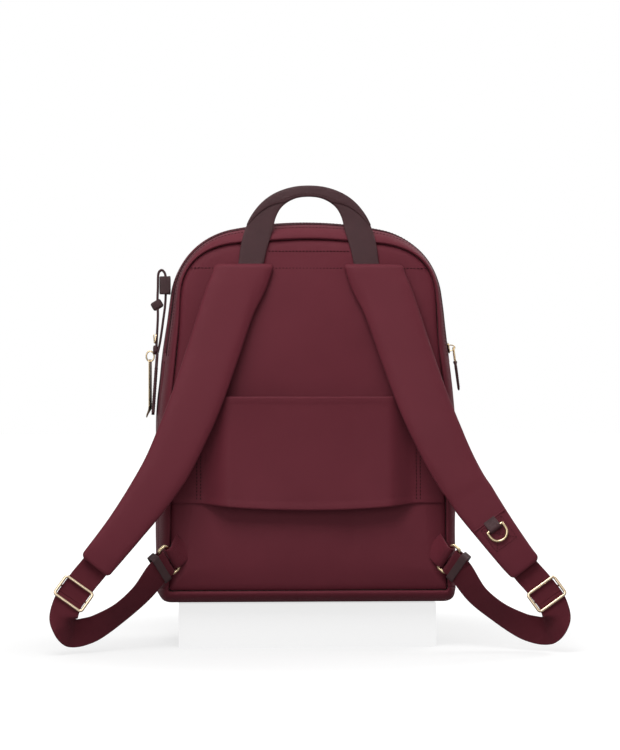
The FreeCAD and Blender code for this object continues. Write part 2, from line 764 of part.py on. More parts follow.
# The webbing of the right strap: x, y from the back panel's face, z of its centre, and the
# direction across it (towards its outer edge), from behind the strap's end, through the
# three-bar slider, round the fold at the bottom, and up to the ring at the bag's lower corner.
# The first two stations lie behind the strap, so half its thickness is added to their y.
stations_behind_strap = 2
webbing_line = (
    (208.5, -47.3, 46.0, 0.81, 0.00, 0.59),
    (214.5, -48.2, 38.5, 0.81, 0.00, 0.59),
    (222.5, -45.8, 29.0, 0.81, 0.00, 0.59),
    (232.6, -47.9, 15.7, 0.80, 0.00, 0.60),
    (238.3, -49.5, 6.6, 0.82, 0.00, 0.57),
    (242.0, -51.1, -5.9, 0.99, -0.05, 0.10),
    (241.0, -49.0, -15.6, 0.78, -0.55, -0.30),
    (237.5, -43.0, -22.0, 0.45, -0.42, -0.79),
    (232.5, -35.5, -24.3, 0.22, -0.10, -0.97),
    (224.0, -31.3, -23.5, 0.10, 0.12, -0.98),
    (210.0, -28.0, -18.8, -0.20, 0.43, -0.88),
    (188.1, -22.0, -5.5, -0.33, 0.68, -0.65),
    (166.5, -18.0, 13.5, -0.44, 0.66, -0.61),
)
ring_centre = Vector(139.5, -13.0, 46.0)
ring_long = Vector(0.43, -0.52, 0.74)
ring_short = Vector(-0.70, 0.25, 0.66)


def mirrored(point, sign, drop):
    """A point of the right harness, on the side given by sign."""
    return Vector(sign * point[0], back_plane.value + point[1], point[2] - lowered(drop, point[2]))


def folded_round(centre, short, face, reach_out, reach_back, turn):
    """Path that comes along the face side of a bar, turns round it and goes back:
    points in the plane across the bar."""
    path = [centre + short * reach_out + face * turn]
    path.append(centre + short * (reach_out * 0.45) + face * turn)
    for angle in (90, 45, 0, -45, -90):
        turned = math.radians(angle)
        path.append(centre - short * (turn * math.cos(turned)) + face * (turn * math.sin(turned)))
    path.append(centre + short * (reach_back * 0.5) - face * turn)
    path.append(centre + short * reach_back - face * turn)
    return path


for label, sign, drop in (("left", -1, 0.0), ("right", 1, sizes.right_drop.value)):
    thick = sizes.strap_thickness.value
    full = strap_rows(sign, drop, 0)
    filling_rows = trimmed(strap_rows(sign, drop, sizes.cloth.value * 2), 0.2)
    cover = band(full, 3, thick)
    filling = band(filling_rows, 3, thick - sizes.cloth.value * 2)
    node(solid("strap_cloth_" + label, cover.cut(filling)), "strap_cover_" + label)
    node(solid("strap_filling_" + label, filling), "strap_foam_" + label)

    # webbing: the run from the strap, and the end folded round the ring's outer bar
    centre = mirrored(ring_centre, sign, 0)
    long_way = Vector(sign * ring_long.x, ring_long.y, ring_long.z).normalize()
    short = Vector(sign * ring_short.x, ring_short.y, ring_short.z)
    short = (short - long_way * short.dot(long_way)).normalize()
    face = short.cross(long_way) * -sign
    if face.y > 0:
        face = -face
    wire = sizes.ring_wire.value
    bar_offset = (sizes.ring_gap.value + wire) / 2
    web = sizes.webbing_thickness.value
    width = sizes.webbing_width.value
    turn = wire / 2 * 1.42 + sizes.clearance.value + web / 2
    rows = []
    for index, (x, y, z, across_x, across_y, across_z) in enumerate(webbing_line):
        if index < stations_behind_strap:
            y += thick / 2
        place = mirrored((x, y, z), sign, drop)
        rows.append((*place, sign * across_x, across_y, across_z, width, 1.0))
    outer_bar = centre - short * bar_offset
    for place in folded_round(outer_bar, -short, face, 12.0, 9.0, turn):
        rows.append((*place, *(-long_way), width, 1.0))
    node(solid("webbing_band_" + label, band(rows, 5, web)), "webbing_" + label)

    # rectangular ring, drawn about its own centre
    ring_half = (width + 1.5) / 2 + wire
    frame_outer = Part.makeBox(ring_half * 2, wire, (bar_offset + wire / 2) * 2,
                               Vector(-ring_half, -wire / 2, -bar_offset - wire / 2))
    frame_inner = Part.makeBox(width + 1.5, wire * 3, sizes.ring_gap.value,
                               Vector(-(width + 1.5) / 2, -wire * 1.5, -sizes.ring_gap.value / 2))
    frame = frame_outer.cut(frame_inner)
    corners = [edge for edge in frame.Edges if edge.BoundBox.YLength > wire * 0.9
               and edge.BoundBox.XLength < 0.01 and edge.BoundBox.ZLength < 0.01
               and abs(edge.BoundBox.Center.x) > ring_half - 0.01]
    ring = solid("corner_ring_" + label, frame.makeFillet(wire * 0.7, corners))
    placed(ring, centre, long_way, short)
    node(ring, "ring_" + label)

    # fabric tab from the back panel round the ring's inner bar
    inner_bar = centre + short * bar_offset
    tab_turn = wire / 2 * 1.42 + sizes.clearance.value + sizes.cloth.value / 2
    panel_y = back_plane.value - sizes.cloth.value / 2 - 0.05
    root = Vector(sign * 124.0, panel_y, 61.0)
    root_across = Vector(sign * 0.5, 0, 0.86)
    path = folded_round(inner_bar, short, face, 5.0, 5.0, tab_turn)[1:]
    rows = []
    for share in (0, 0.35, 0.62, 0.82):
        place = root + (path[0] - root) * share
        across = root_across + (long_way - root_across) * share
        rows.append((*place, *across, width - 2, 1.0))
    rows += [(*place, *long_way, width - 2, 1.0) for place in path[:-1]]
    tab = band(rows, 4, sizes.cloth.value)
    node(solid("tab_cloth_" + label, tab), "corner_tab_" + label)

    # leather keeper round both layers of the webbing, just outside the ring
    keeper_at = outer_bar - short * 7.5
    keeper_outer = Part.makeBox(width + 5.4, turn * 2 + web + 3.0, 6,
                                Vector(-(width + 5.4) / 2, -turn - web / 2 - 1.5, -3))
    keeper_inner = Part.makeBox(width + 1.8, turn * 2 + web + 1.0, 8,
                                Vector(-(width + 1.8) / 2, -turn - web / 2 - 0.5, -4))
    keeper = solid("keeper_leather_" + label, keeper_outer.cut(keeper_inner))
    placed(keeper, keeper_at, long_way, short)
    node(keeper, "strap_keeper_" + label)

    # three-bar slider: the webbing passes behind the outer bars and over the middle one
    at = mirrored((232.6, -47.9, 15.7), sign, drop)
    web_across = Vector(sign * 0.81, 0, 0.58)
    web_along = Vector(sign * 0.575, -0.13, -0.81)
    bar = sizes.slider_wire.value
    wide = width + 4
    tall = 24.0
    low_y = -web / 2 - 0.7
    plate = Part.makeBox(wide + bar, bar, tall, Vector(-(wide + bar) / 2, low_y - bar, -tall / 2))
    window = Part.makeBox(wide - bar, bar * 3, tall - bar * 2,
                          Vector(-(wide - bar) / 2, low_y - bar * 2, -tall / 2 + bar))
    cheek_depth = bar + web + 2.2
    middle = Part.makeBox(wide + bar, 2.2, bar,
                          Vector(-(wide + bar) / 2, low_y + web + 1.5, -bar / 2))
    body = plate.cut(window).fuse(middle)
    for x in (-(wide + bar) / 2, (wide - bar) / 2):
        body = body.fuse(Part.makeBox(bar, cheek_depth, bar, Vector(x, low_y - bar / 2, -bar / 2)))
    slider = solid("strap_slider_" + label, body.removeSplitter())
    placed(slider, at, web_across, -web_along)
    if slider.Placement.Rotation.multVec(Vector(0, 1, 0)).y < 0:
        placed(slider, at, -web_across, -web_along)
    node(slider, "slider_" + label)


# ---------------------------------------------------------------- D-ring on the right strap

def strap_frame(height):
    """Centre of the right strap's outer face at a height, the way down it and its normal."""
    rows = strap_rows(1, sizes.right_drop.value, 0)
    last = (len(rows) - 1) * 20
    places = [smooth(rows, i / 20) for i in range(last + 1)]
    index = min(range(1, last), key=lambda i: abs(places[i][2] - height))
    down = (Vector(*places[index + 1][0:3]) - Vector(*places[index - 1][0:3])).normalize()
    across = Vector(*places[index][3:6]).normalize()
    normal = down.cross(across).normalize()
    if normal.y > 0:
        normal = -normal
    centre = Vector(*places[index][0:3]) + normal * (sizes.strap_thickness.value / 2)
    return centre, down, normal


d_centre, d_down, d_normal = strap_frame(79.0)
d_across = d_down.cross(d_normal)
wire = sizes.d_ring_wire.value
radius = sizes.d_ring_radius.value
lift = wire + 0.7
bar_at = d_centre + d_normal * lift
leg = 5.0
left_top = bar_at - d_across * radius - d_down * wire
right_top = bar_at + d_across * radius - d_down * wire
left_low = bar_at - d_across * radius + d_down * leg
right_low = bar_at + d_across * radius + d_down * leg
d_arc = Part.Arc(left_low, bar_at + d_down * (leg + radius), right_low).toShape()
d_legs = (Part.LineSegment(left_top, left_low).toShape(),
          Part.LineSegment(right_low, right_top).toShape())
d_path = Part.Wire([d_legs[0], d_arc, d_legs[1]])
d_section = Part.Wire([Part.Circle(left_top, d_down, wire).toShape()])
d_ring = d_path.makePipeShell([d_section], True, False)
d_bar = Part.makeCylinder(wire * 0.95, radius * 2, bar_at - d_across * radius, d_across)
node(solid("d_ring_wire", d_ring.fuse(d_bar).removeSplitter()), "d_ring")

tab_width = 13.0
tab_length = 15.0
tab_thick = lift + wire + 1.3
tab_block = Part.makeBox(tab_width, tab_thick, tab_length,
                         Vector(-tab_width / 2, 0.1, -wire - 1.6))
tab_hole = Part.makeCylinder(wire + 0.25, tab_width * 2, Vector(-tab_width, lift, 0),
                             Vector(1, 0, 0))
tab_low = Part.makeBox(tab_width * 2, tab_thick * 2, tab_length,
                       Vector(-tab_width, wire * 2 + 1.5, wire + 3))
tab = tab_block.cut(tab_hole).cut(tab_low)
tab.Placement = FreeCAD.Placement(
    d_centre, FreeCAD.Rotation(d_across, d_normal, -d_down, "ZYX"))
node(solid("d_tab_leather", tab), "d_ring_tab")


# ---------------------------------------------------------------- side loop and luggage tag

loop_y = -15.0
loop_low = 312.0
loop_high = 330.0
loop_half = 11.0
loop_rise = 9.0
leather = sizes.leather.value


def side_x(height, inset=0.0):
    """Half-width of the bag at a height on its leaning side or shoulder."""
    points = outline_points(inset)
    arc = Part.Arc(points["side_top"], points["shoulder_mid"], points["crown_end"])
    line = Part.LineSegment(points["bulge"], points["side_top"])
    edge = line.toShape() if height <= points["side_top"].y else arc.toShape()
    level = Part.LineSegment(Vector(0, height), Vector(300, height)).toShape()
    return edge.distToShape(level)[1][0][0].x


loop_x = side_x(loop_low) + sizes.clearance.value
loop_profile = (
    (0.0, -loop_half - 6), (0.0, -loop_half + 0.5), (loop_rise * 0.75, -loop_half + 2.5),
    (loop_rise, -loop_half + 5.5), (loop_rise, loop_half - 5.5),
    (loop_rise * 0.75, loop_half - 2.5), (0.0, loop_half - 0.5), (0.0, loop_half + 6),
)
loop_rows = []
for rise, y in loop_profile:
    x = -(loop_x + leather / 2 + rise)
    loop_rows.append((x, loop_y + y, (loop_low + loop_high) / 2, 0, 0, 1,
                      loop_high - loop_low, 1.0))
node(solid("loop_leather", band(loop_rows, 4, leather)), "side_loop")

# The tag's strap goes down through the loop and hangs in two strands to the buckle.
strap_wide = 8.0
inner_x = loop_x + loop_rise * 0.5
outer_x = loop_x + loop_rise + leather + 1.4
strand = (
    (inner_x + 0.3, loop_low - 6), (inner_x, loop_low + 6), (inner_x + 0.4, loop_high + 1),
    (inner_x + 2.6, loop_high + 5.6), (outer_x - 2.4, loop_high + 6.2), (outer_x, loop_high + 2),
    (outer_x + 0.4, loop_low + 6), (outer_x + 0.8, loop_low - 6), (outer_x + 0.4, 290.0),
    (outer_x + 1.2, 272.0), (outer_x + 2.2, 258.0),
)
strand_rows = [(-x, loop_y, z, 0, 1, 0, strap_wide, 1.0) for x, z in strand]
inner_strand = (
    (inner_x + 0.3, loop_low - 6), (inner_x + 2.2, 300.0), (outer_x - 3.4, 288.0),
    (outer_x - 2.2, 272.0), (outer_x - 0.2, 258.0),
)
inner_rows = [(-x, loop_y, z, 0, 1, 0, strap_wide, 1.0) for x, z in inner_strand]
tag_strap = band(strand_rows, 4, 1.5).fuse(band(inner_rows, 4, 1.5))
end_block = Part.makeBox(5.2, strap_wide, 7.0, Vector(-outer_x - 4.5, loop_y - strap_wide / 2, 252.0))
node(solid("tag_strap_leather", tag_strap.fuse(end_block).removeSplitter()), "tag_strap")

buckle_x = -outer_x - 1.4
buckle_outer = Part.makeBox(6.4, 13.0, 9.0, Vector(buckle_x - 3.2, loop_y - 6.5, 262.0))
buckle_inner = Part.makeBox(7.5, 9.2, 5.4, Vector(buckle_x - 3.75, loop_y - 4.6, 263.8))
buckle_slot = Part.makeBox(5.0, 9.2, 12.0, Vector(buckle_x - 1.9, loop_y - 4.6, 261.0))
buckle = buckle_outer.cut(buckle_inner).cut(buckle_slot).cut(tag_strap)
node(solid("tag_buckle_frame", buckle), "tag_buckle")

tag_top = Vector(-outer_x - 1.0, loop_y, 251.7)
tag_low = Vector(-outer_x - 5.4, loop_y, 189.0)
tag_wide = sizes.tag_width.value
tag_mid = tag_top + (tag_low - tag_top) * 0.2
tag_rows = [(*tag_top, 0, 1, 0, 14.0, 1.0), (*tag_mid, 0, 1, 0, tag_wide, 1.0),
            (*tag_low, 0, 1, 0, tag_wide, 1.0)]
node(solid("tag_leather_sheet", band(tag_rows, 1, 2.4)), "tag_leather")

# metal plate on a ring through the end of the tag's strap
ring_x = -outer_x - 8.2
ring_z = 252.0
plate_ring = Part.makeTorus(5.2, 0.8, Vector(ring_x, loop_y, ring_z - 3.4), Vector(0, 1, 0))
tag_hole = Part.makeTorus(5.2, 1.1, Vector(ring_x, loop_y, ring_z - 3.4), Vector(0, 1, 0))
plate_top = ring_z - 6.0
plate_low = 186.0
plate_thick = sizes.plate_thickness.value
plate_x = ring_x + plate_thick / 2
plate_shape = Part.makePolygon([
    Vector(plate_x, loop_y - 10, plate_top), Vector(plate_x, loop_y + 10, plate_top),
    Vector(plate_x, loop_y + 10, plate_low + 9), Vector(plate_x, loop_y, plate_low),
    Vector(plate_x, loop_y - 10, plate_low + 9), Vector(plate_x, loop_y - 10, plate_top)])
plate = Part.Face(plate_shape).extrude(Vector(-plate_thick, 0, 0))
plate = plate.cut(tag_hole)
for piece in NODES:
    if piece.Label in ("tag_strap", "tag_leather"):
        piece.Shape = max(piece.Shape.cut(tag_hole).Solids, key=lambda part: part.Volume)
node(solid("plate_metal", plate), "tag_plate")
node(solid("plate_ring_wire", plate_ring), "tag_ring")


# ---------------------------------------------------------------- check and write

doc.recompute()
faults = []
for item in doc.Objects:
    if "Invalid" in item.State or "Error" in item.State:
        faults.append(f"{item.Name}: {item.State}")
for piece in NODES:
    shape = piece.Shape
    if shape.isNull() or not shape.isValid() or not shape.Solids:
        faults.append(f"{piece.Label}: no valid solid")
if faults:
    raise SystemExit("the model is not sound:\n" + "\n".join(faults))

os.makedirs("parts", exist_ok=True)
for piece in NODES:
    piece.Shape.exportStep(f"parts/{piece.Label}.step")
print(len(NODES), "sub-parts written")
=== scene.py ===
import json
import math

import bpy
import numpy as np
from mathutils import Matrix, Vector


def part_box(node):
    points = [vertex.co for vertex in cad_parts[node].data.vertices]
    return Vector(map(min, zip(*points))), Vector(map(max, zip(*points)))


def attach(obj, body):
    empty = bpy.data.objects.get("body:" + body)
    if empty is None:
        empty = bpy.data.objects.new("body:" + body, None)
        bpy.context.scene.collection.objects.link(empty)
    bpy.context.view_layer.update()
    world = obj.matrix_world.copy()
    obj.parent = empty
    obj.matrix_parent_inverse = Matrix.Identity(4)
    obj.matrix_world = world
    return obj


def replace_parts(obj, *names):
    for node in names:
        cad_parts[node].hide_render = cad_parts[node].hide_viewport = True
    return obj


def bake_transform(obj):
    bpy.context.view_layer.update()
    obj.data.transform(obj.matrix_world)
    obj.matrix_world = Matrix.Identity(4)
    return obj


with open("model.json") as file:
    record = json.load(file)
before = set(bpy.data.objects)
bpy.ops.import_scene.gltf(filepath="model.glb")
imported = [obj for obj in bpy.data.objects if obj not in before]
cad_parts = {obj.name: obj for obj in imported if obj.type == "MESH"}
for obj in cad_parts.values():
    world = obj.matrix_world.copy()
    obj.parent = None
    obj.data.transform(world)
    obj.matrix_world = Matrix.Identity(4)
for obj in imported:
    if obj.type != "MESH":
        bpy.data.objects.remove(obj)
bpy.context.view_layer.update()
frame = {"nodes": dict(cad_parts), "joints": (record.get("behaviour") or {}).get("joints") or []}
nodes = frame["nodes"]


# ------------------------------------------------------------------ camera
# The camera stands 2.6 m away on the harness side, level with the middle of the bag and a few
# degrees to its left, with a long lens. Its view is 0.64 m wide at the bag.

camera_distance = 2.6
camera_turn = math.radians(3.0)
camera_height = 0.2295
camera_shift = 0.00515
view_width = 0.6386
sensor_width = 36.0
camera_forward = np.array([math.sin(camera_turn), math.cos(camera_turn), 0.0])
camera_right = np.array([math.cos(camera_turn), -math.sin(camera_turn), 0.0])
camera_place = camera_right * camera_shift - camera_forward * camera_distance
camera_data = bpy.data.cameras.new("camera")
camera_data.sensor_fit = "HORIZONTAL"
camera_data.sensor_width = sensor_width
camera_data.lens = sensor_width * camera_distance / view_width
camera = bpy.data.objects.new("camera", camera_data)
camera.location = (camera_place[0], camera_place[1], camera_height)
camera.rotation_euler = (math.pi / 2, 0.0, -camera_turn)
bpy.context.scene.collection.objects.link(camera)
bpy.context.scene.camera = camera


# ------------------------------------------------------------------ nylon cloth
# The bag is sewn from a satin burgundy nylon. Its threads are a third of a millimetre apart,
# and its colour drifts a little from place to place.

def rgb(red, green, blue):
    """Linear colour of three sRGB values from 0 to 255: v/12.92 where v is small, otherwise
    ((v + 0.055) / 1.055) to the power 2.4."""
    values = np.array([red, green, blue]) / 255.0
    linear = np.where(values <= 0.04045, values / 12.92, ((values + 0.055) / 1.055) ** 2.4)
    return (*linear.tolist(), 1.0)


def new_group(name, inputs, outputs):
    """Empty shader node group. inputs and outputs are (name, socket type, default)."""
    group = bpy.data.node_groups.new(name, "ShaderNodeTree")
    for title, kind, default in inputs:
        socket = group.interface.new_socket(title, in_out="INPUT", socket_type=kind)
        if default is not None:
            socket.default_value = default
    for title, kind in outputs:
        group.interface.new_socket(title, in_out="OUTPUT", socket_type=kind)
    group.nodes.new("NodeGroupInput")
    group.nodes.new("NodeGroupOutput")
    return group


def add_node(tree, kind, settings=None, **inputs):
    """Node of a tree. settings are its properties, and inputs its sockets by name, with
    underscores for spaces: a value, or a socket to link from."""
    node = tree.nodes.new("ShaderNode" + kind)
    for key, value in (settings or {}).items():
        setattr(node, key, value)
    for key, value in inputs.items():
        socket = node.inputs[int(key[1:])] if key[1:].isdigit() else node.inputs[key.replace("_",
                                                                                             " ")]
        if isinstance(value, bpy.types.NodeSocket):
            tree.links.new(value, socket)
        else:
            socket.default_value = value
    return node


def maths(tree, operation, *values):
    """Output of a Math node with that operation and values."""
    inputs = {f"i{i}": value for i, value in enumerate(values)}
    return add_node(tree, "Math", {"operation": operation}, **inputs).outputs[0]


def weave_group():
    """Plain weave: height = (1 + sin(2 pi u / pitch) sin(2 pi v / pitch)) / 2 for the two
    ways u and v across the cloth, here x + y and z."""
    tree = new_group("plain weave", [("Across", "NodeSocketFloat", 0.0),
                                     ("Along", "NodeSocketFloat", 0.0),
                                     ("Pitch", "NodeSocketFloat", 0.0004)],
                     [("Height", "NodeSocketFloat")])
    inlet, outlet = tree.nodes["Group Input"], tree.nodes["Group Output"]
    waves = []
    for way in ("Across", "Along"):
        phase = maths(tree, "DIVIDE", inlet.outputs[way], inlet.outputs["Pitch"])
        waves.append(maths(tree, "SINE", maths(tree, "MULTIPLY", phase, 2 * math.pi)))
    product = maths(tree, "MULTIPLY", waves[0], waves[1])
    tree.links.new(maths(tree, "MULTIPLY_ADD", product, 0.5, 0.5), outlet.inputs["Height"])
    return tree


def drift_group():
    """Slow drift of shade: 1 + amount (2 n - 1) for a noise n at that scale."""
    tree = new_group("colour drift", [("Vector", "NodeSocketVector", None),
                                      ("Scale", "NodeSocketFloat", 20.0),
                                      ("Amount", "NodeSocketFloat", 0.1),
                                      ("Colour", "NodeSocketColor", None)],
                     [("Colour", "NodeSocketColor"), ("Noise", "NodeSocketFloat")])
    inlet, outlet = tree.nodes["Group Input"], tree.nodes["Group Output"]
    noise = add_node(tree, "TexNoise", Vector=inlet.outputs["Vector"], Scale=inlet.outputs["Scale"],
                     Detail=4.0).outputs["Fac"]
    swing = maths(tree, "MULTIPLY_ADD", noise, 2.0, -1.0)
    shade = maths(tree, "MULTIPLY_ADD", swing, inlet.outputs["Amount"], 1.0)
    tinted = add_node(tree, "VectorMath", {"operation": "SCALE"}, i0=inlet.outputs["Colour"])
    tree.links.new(shade, tinted.inputs["Scale"])
    tree.links.new(tinted.outputs[0], outlet.inputs["Colour"])
    tree.links.new(noise, outlet.inputs["Noise"])
    return tree


weave = weave_group()
drift = drift_group()


def place_group(tree, group, **inputs):
    """A node group in a material, with its inputs set or linked."""
    node = tree.nodes.new("ShaderNodeGroup")
    node.node_tree = group
    for key, value in inputs.items():
        if isinstance(value, bpy.types.NodeSocket):
            tree.links.new(value, node.inputs[key])
        else:
            node.inputs[key].default_value = value
    return node


def new_material(name, roughness, **constants):
    """Material with one Principled shader. constants are its sockets, set directly."""
    material = bpy.data.materials.new(name)
    material.use_nodes = True
    shader = material.node_tree.nodes["Principled BSDF"]
    shader.inputs["Roughness"].default_value = roughness
    for key, value in constants.items():
        shader.inputs[key.replace("_", " ")].default_value = value
    return material, material.node_tree, shader


def cloth(name, colour, pitch=0.0004, roughness=0.5, sheen=0.06, bump=0.35, amount=0.08,
          follow_uv=False):
    """Woven cloth: weave bump, colour drift and a soft sheen. follow_uv lays the threads along
    the piece's own UV map in metres, otherwise they lie along its object axes."""
    material, tree, shader = new_material(name, roughness, Sheen_Weight=sheen, Sheen_Roughness=0.4,
                                          Sheen_Tint=(0.9, 0.6, 0.65, 1.0), Specular_IOR_Level=0.12)
    where = add_node(tree, "TexCoord")
    spread = add_node(tree, "SeparateXYZ", Vector=where.outputs["UV" if follow_uv else "Object"])
    if follow_uv:
        across, along = spread.outputs["X"], spread.outputs["Y"]
    else:
        across = maths(tree, "ADD", spread.outputs["X"], spread.outputs["Y"])
        along = spread.outputs["Z"]
    threads = place_group(tree, weave, Across=across, Along=along, Pitch=pitch)
    shade = place_group(tree, drift, Vector=where.outputs["Object"], Scale=22.0, Amount=amount,
                        Colour=colour)
    tree.links.new(shade.outputs["Colour"], shader.inputs["Base Color"])
    relief = maths(tree, "MULTIPLY_ADD", shade.outputs["Noise"], 0.4, threads.outputs["Height"])
    raised = add_node(tree, "Bump", Height=relief, Strength=bump, Distance=pitch * 0.5)
    tree.links.new(raised.outputs["Normal"], shader.inputs["Normal"])
    return material


nylon = cloth("burgundy nylon", rgb(106, 43, 54))


# ------------------------------------------------------------------ shell of the bag
# Gusset and panels of nylon over foam, sewn together with a sunk seam round the back and the
# front. In plan the bag swells at its middle like a barrel, so its edges are a little narrower.

def surface(name, grid, material, body=None, around=False, along=False, ends=False,
            inside=(0.0, 0.0, 0.0), sharp=False):
    """Piece on a grid of points, rows by columns. around joins the last column to the first,
    along the last row to the first, and ends closes the first and last row with a fan about
    its middle. Faces point away from inside. The UV map is the distance in metres round and
    along the grid."""
    grid = np.asarray(grid, float)
    rows, columns = grid.shape[:2]
    i = np.arange(rows if along else rows - 1)[:, None]
    j = np.arange(columns if around else columns - 1)[None, :]
    i_next, j_next = (i + 1) % rows, (j + 1) % columns
    corner = [i * columns + j, i_next * columns + j, i_next * columns + j_next,
              i * columns + j_next]
    quads = np.stack([np.broadcast_to(c, (i.size, j.size)) for c in corner], -1).reshape(-1, 4)
    points = grid.reshape(-1, 3)
    step_u = np.linalg.norm(np.diff(grid, axis=0), axis=2).mean(axis=1)
    step_v = np.linalg.norm(np.diff(grid, axis=1), axis=2).mean(axis=0)
    run_u = np.concatenate([[0.0], np.cumsum(step_u)])
    run_v = np.concatenate([[0.0], np.cumsum(step_v)])
    uv = np.stack(np.broadcast_arrays(run_v[None, :], run_u[:, None]), -1).reshape(-1, 2)
    a, b, c, d = (points[quads[:, k]] for k in range(4))
    outward = np.cross(c - a, d - b)
    flip = np.sum(outward * (a + c - 2 * np.array(inside))) < 0
    if flip:
        quads = quads[:, ::-1]
    faces = quads.tolist()
    if ends:
        for row, turn in ((0, 1), (rows - 1, -1)):
            loop = row * columns + np.arange(columns)
            middle = len(points)
            points = np.vstack([points, points[loop].mean(axis=0)])
            uv = np.vstack([uv, uv[loop].mean(axis=0)])
            fan = np.stack([loop, np.roll(loop, -1), np.full(columns, middle)], -1)
            if (turn < 0) != flip:
                fan = fan[:, ::-1]
            faces += fan.tolist()
    return mesh_piece(name, points, faces, material, body, uv, sharp)


def mesh_piece(name, points, faces, material, body=None, uv=None, sharp=False):
    """Piece of given points and faces, smooth-shaded unless sharp, riding on a body."""
    mesh = bpy.data.meshes.new(name)
    mesh.from_pydata(points.tolist(), [], faces)
    if uv is not None:
        layer = mesh.uv_layers.new(name="UVMap")
        corners = np.empty(len(mesh.loops), dtype=np.int32)
        mesh.loops.foreach_get("vertex_index", corners)
        layer.data.foreach_set("uv", uv[corners].ravel())
    mesh.polygons.foreach_set("use_smooth", np.full(len(mesh.polygons), not sharp))
    mesh.update()
    piece = bpy.data.objects.new(name, mesh)
    piece.data.materials.append(material)
    bpy.context.scene.collection.objects.link(piece)
    if body:
        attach(piece, body)
    return piece


def thicken(piece, thickness, offset=-1.0):
    """Solidify modifier: cloth of that thickness, inward of the piece's surface."""
    wall = piece.modifiers.new("thickness", "SOLIDIFY")
    wall.thickness = thickness
    wall.offset = offset
    wall.use_even_offset = False
    return piece


def ease(values, low, high):
    """Smooth step from 0 at low to 1 at high: 3 t^2 - 2 t^3."""
    t = np.clip((np.asarray(values, float) - low) / (high - low), 0.0, 1.0)
    return t * t * (3 - 2 * t)


bag_height = 0.386
half_width = 0.1535
half_depth = 0.0725
corner_radius = 0.016
straight_top = 0.170
bulge_radius = 0.400
lean = math.radians(7.5)
shoulder_radius = 0.078
crown_radius = 0.400
barrel_swell, barrel_reach = 0.005, 0.058
bag_middle = (0.0, 0.0, 0.18)
cloth_wall = 0.0016


def outline(count):
    """Bag's outline as points (x, z) at equal steps from the middle of the base, up the right
    side, over the top and back, with outward normals. The right half is a base line, a corner
    arc, a straight side, an arc that leans inward, a leaning line, a shoulder arc and a crown
    arc, each tangent to the next; the left half is its mirror image."""
    def arc(centre, radius, start, end):
        angle = np.linspace(start, end, 200)
        return np.stack([centre[0] + radius * np.cos(angle), centre[1] + radius * np.sin(angle)],
                        -1)

    out = np.array([math.cos(lean), math.sin(lean)])
    rise = np.array([-math.sin(lean), math.cos(lean)])
    bulge_centre = np.array([half_width - bulge_radius, straight_top])
    crown_centre = np.array([0.0, bag_height - crown_radius])
    start = bulge_centre + out * (bulge_radius - shoulder_radius) - crown_centre
    reach = crown_radius - shoulder_radius
    along = start @ rise
    run = -along + math.sqrt(along * along - start @ start + reach * reach)
    shoulder_centre = crown_centre + start + rise * run
    toward = shoulder_centre - crown_centre
    crown_start = math.atan2(toward[1], toward[0])
    half = np.concatenate([
        [[0.0, 0.0], [half_width - corner_radius, 0.0]],
        arc((half_width - corner_radius, corner_radius), corner_radius, -math.pi / 2, 0.0),
        arc(bulge_centre, bulge_radius, 0.0, lean),
        arc(shoulder_centre, shoulder_radius, lean, crown_start),
        arc(crown_centre, crown_radius, crown_start, math.pi / 2)])
    loop = np.concatenate([half, (half * [-1.0, 1.0])[::-1][1:]])
    length = np.concatenate([[0.0], np.cumsum(np.linalg.norm(np.diff(loop, axis=0), axis=1))])
    at = np.linspace(0.0, length[-1], count, endpoint=False)
    points = np.stack([np.interp(at, length, loop[:, k]) for k in (0, 1)], -1)
    tangent = np.roll(points, -1, axis=0) - np.roll(points, 1, axis=0)
    tangent /= np.linalg.norm(tangent, axis=1, keepdims=True)
    return points, np.stack([tangent[:, 1], -tangent[:, 0]], -1)


def soften(values, width):
    """Moving average of closed rows over twice width + 1 neighbours."""
    return sum(np.roll(values, k, axis=0) for k in range(-width, width + 1)) / (2 * width + 1)


outline_count = 480
rim, rim_normal = outline(outline_count)
rim_normal = soften(rim_normal, 3)
rim_normal /= np.linalg.norm(rim_normal, axis=1, keepdims=True)
rim_x, rim_z = rim[:, 0], rim[:, 1]

# The seam lies 8 to 20 mm inside the outline: nearest at the shoulders, farthest at the crown.
side_inset = np.interp(rim_z, [0.0, 0.06, 0.17, 0.268, 0.312, 0.345],
                       [0.013, 0.0145, 0.015, 0.0132, 0.0092, 0.0088])
crown_inset = np.interp(np.abs(rim_x), [0.05, 0.10, 0.122], [0.0198, 0.0150, 0.0088])
back_inset = soften(np.where(rim_z > 0.345, crown_inset, side_inset), 8)
front_inset = np.full(outline_count, 0.0143)
rim_share = (1 - 0.75 * ease(-rim_normal[:, 1], 0.3, 0.9))[:, None]


def barrel_inset(y):
    """How far the outline lies inward at depth y for the bag's barrel shape: 5 mm
    (y / 58 mm) squared, and a quarter of that along the base."""
    return barrel_swell * (np.asarray(y) / barrel_reach) ** 2 * rim_share


def rim_rows(profile, rows=slice(None)):
    """Grid on the outline: profile is (inset, y) for each outline point and column."""
    inset, y = profile
    place = rim[rows, None, :] - rim_normal[rows, None, :] * inset[rows, :, None]
    y = np.broadcast_to(y, inset.shape)[rows]
    return np.stack([place[..., 0], y, place[..., 1]], -1)


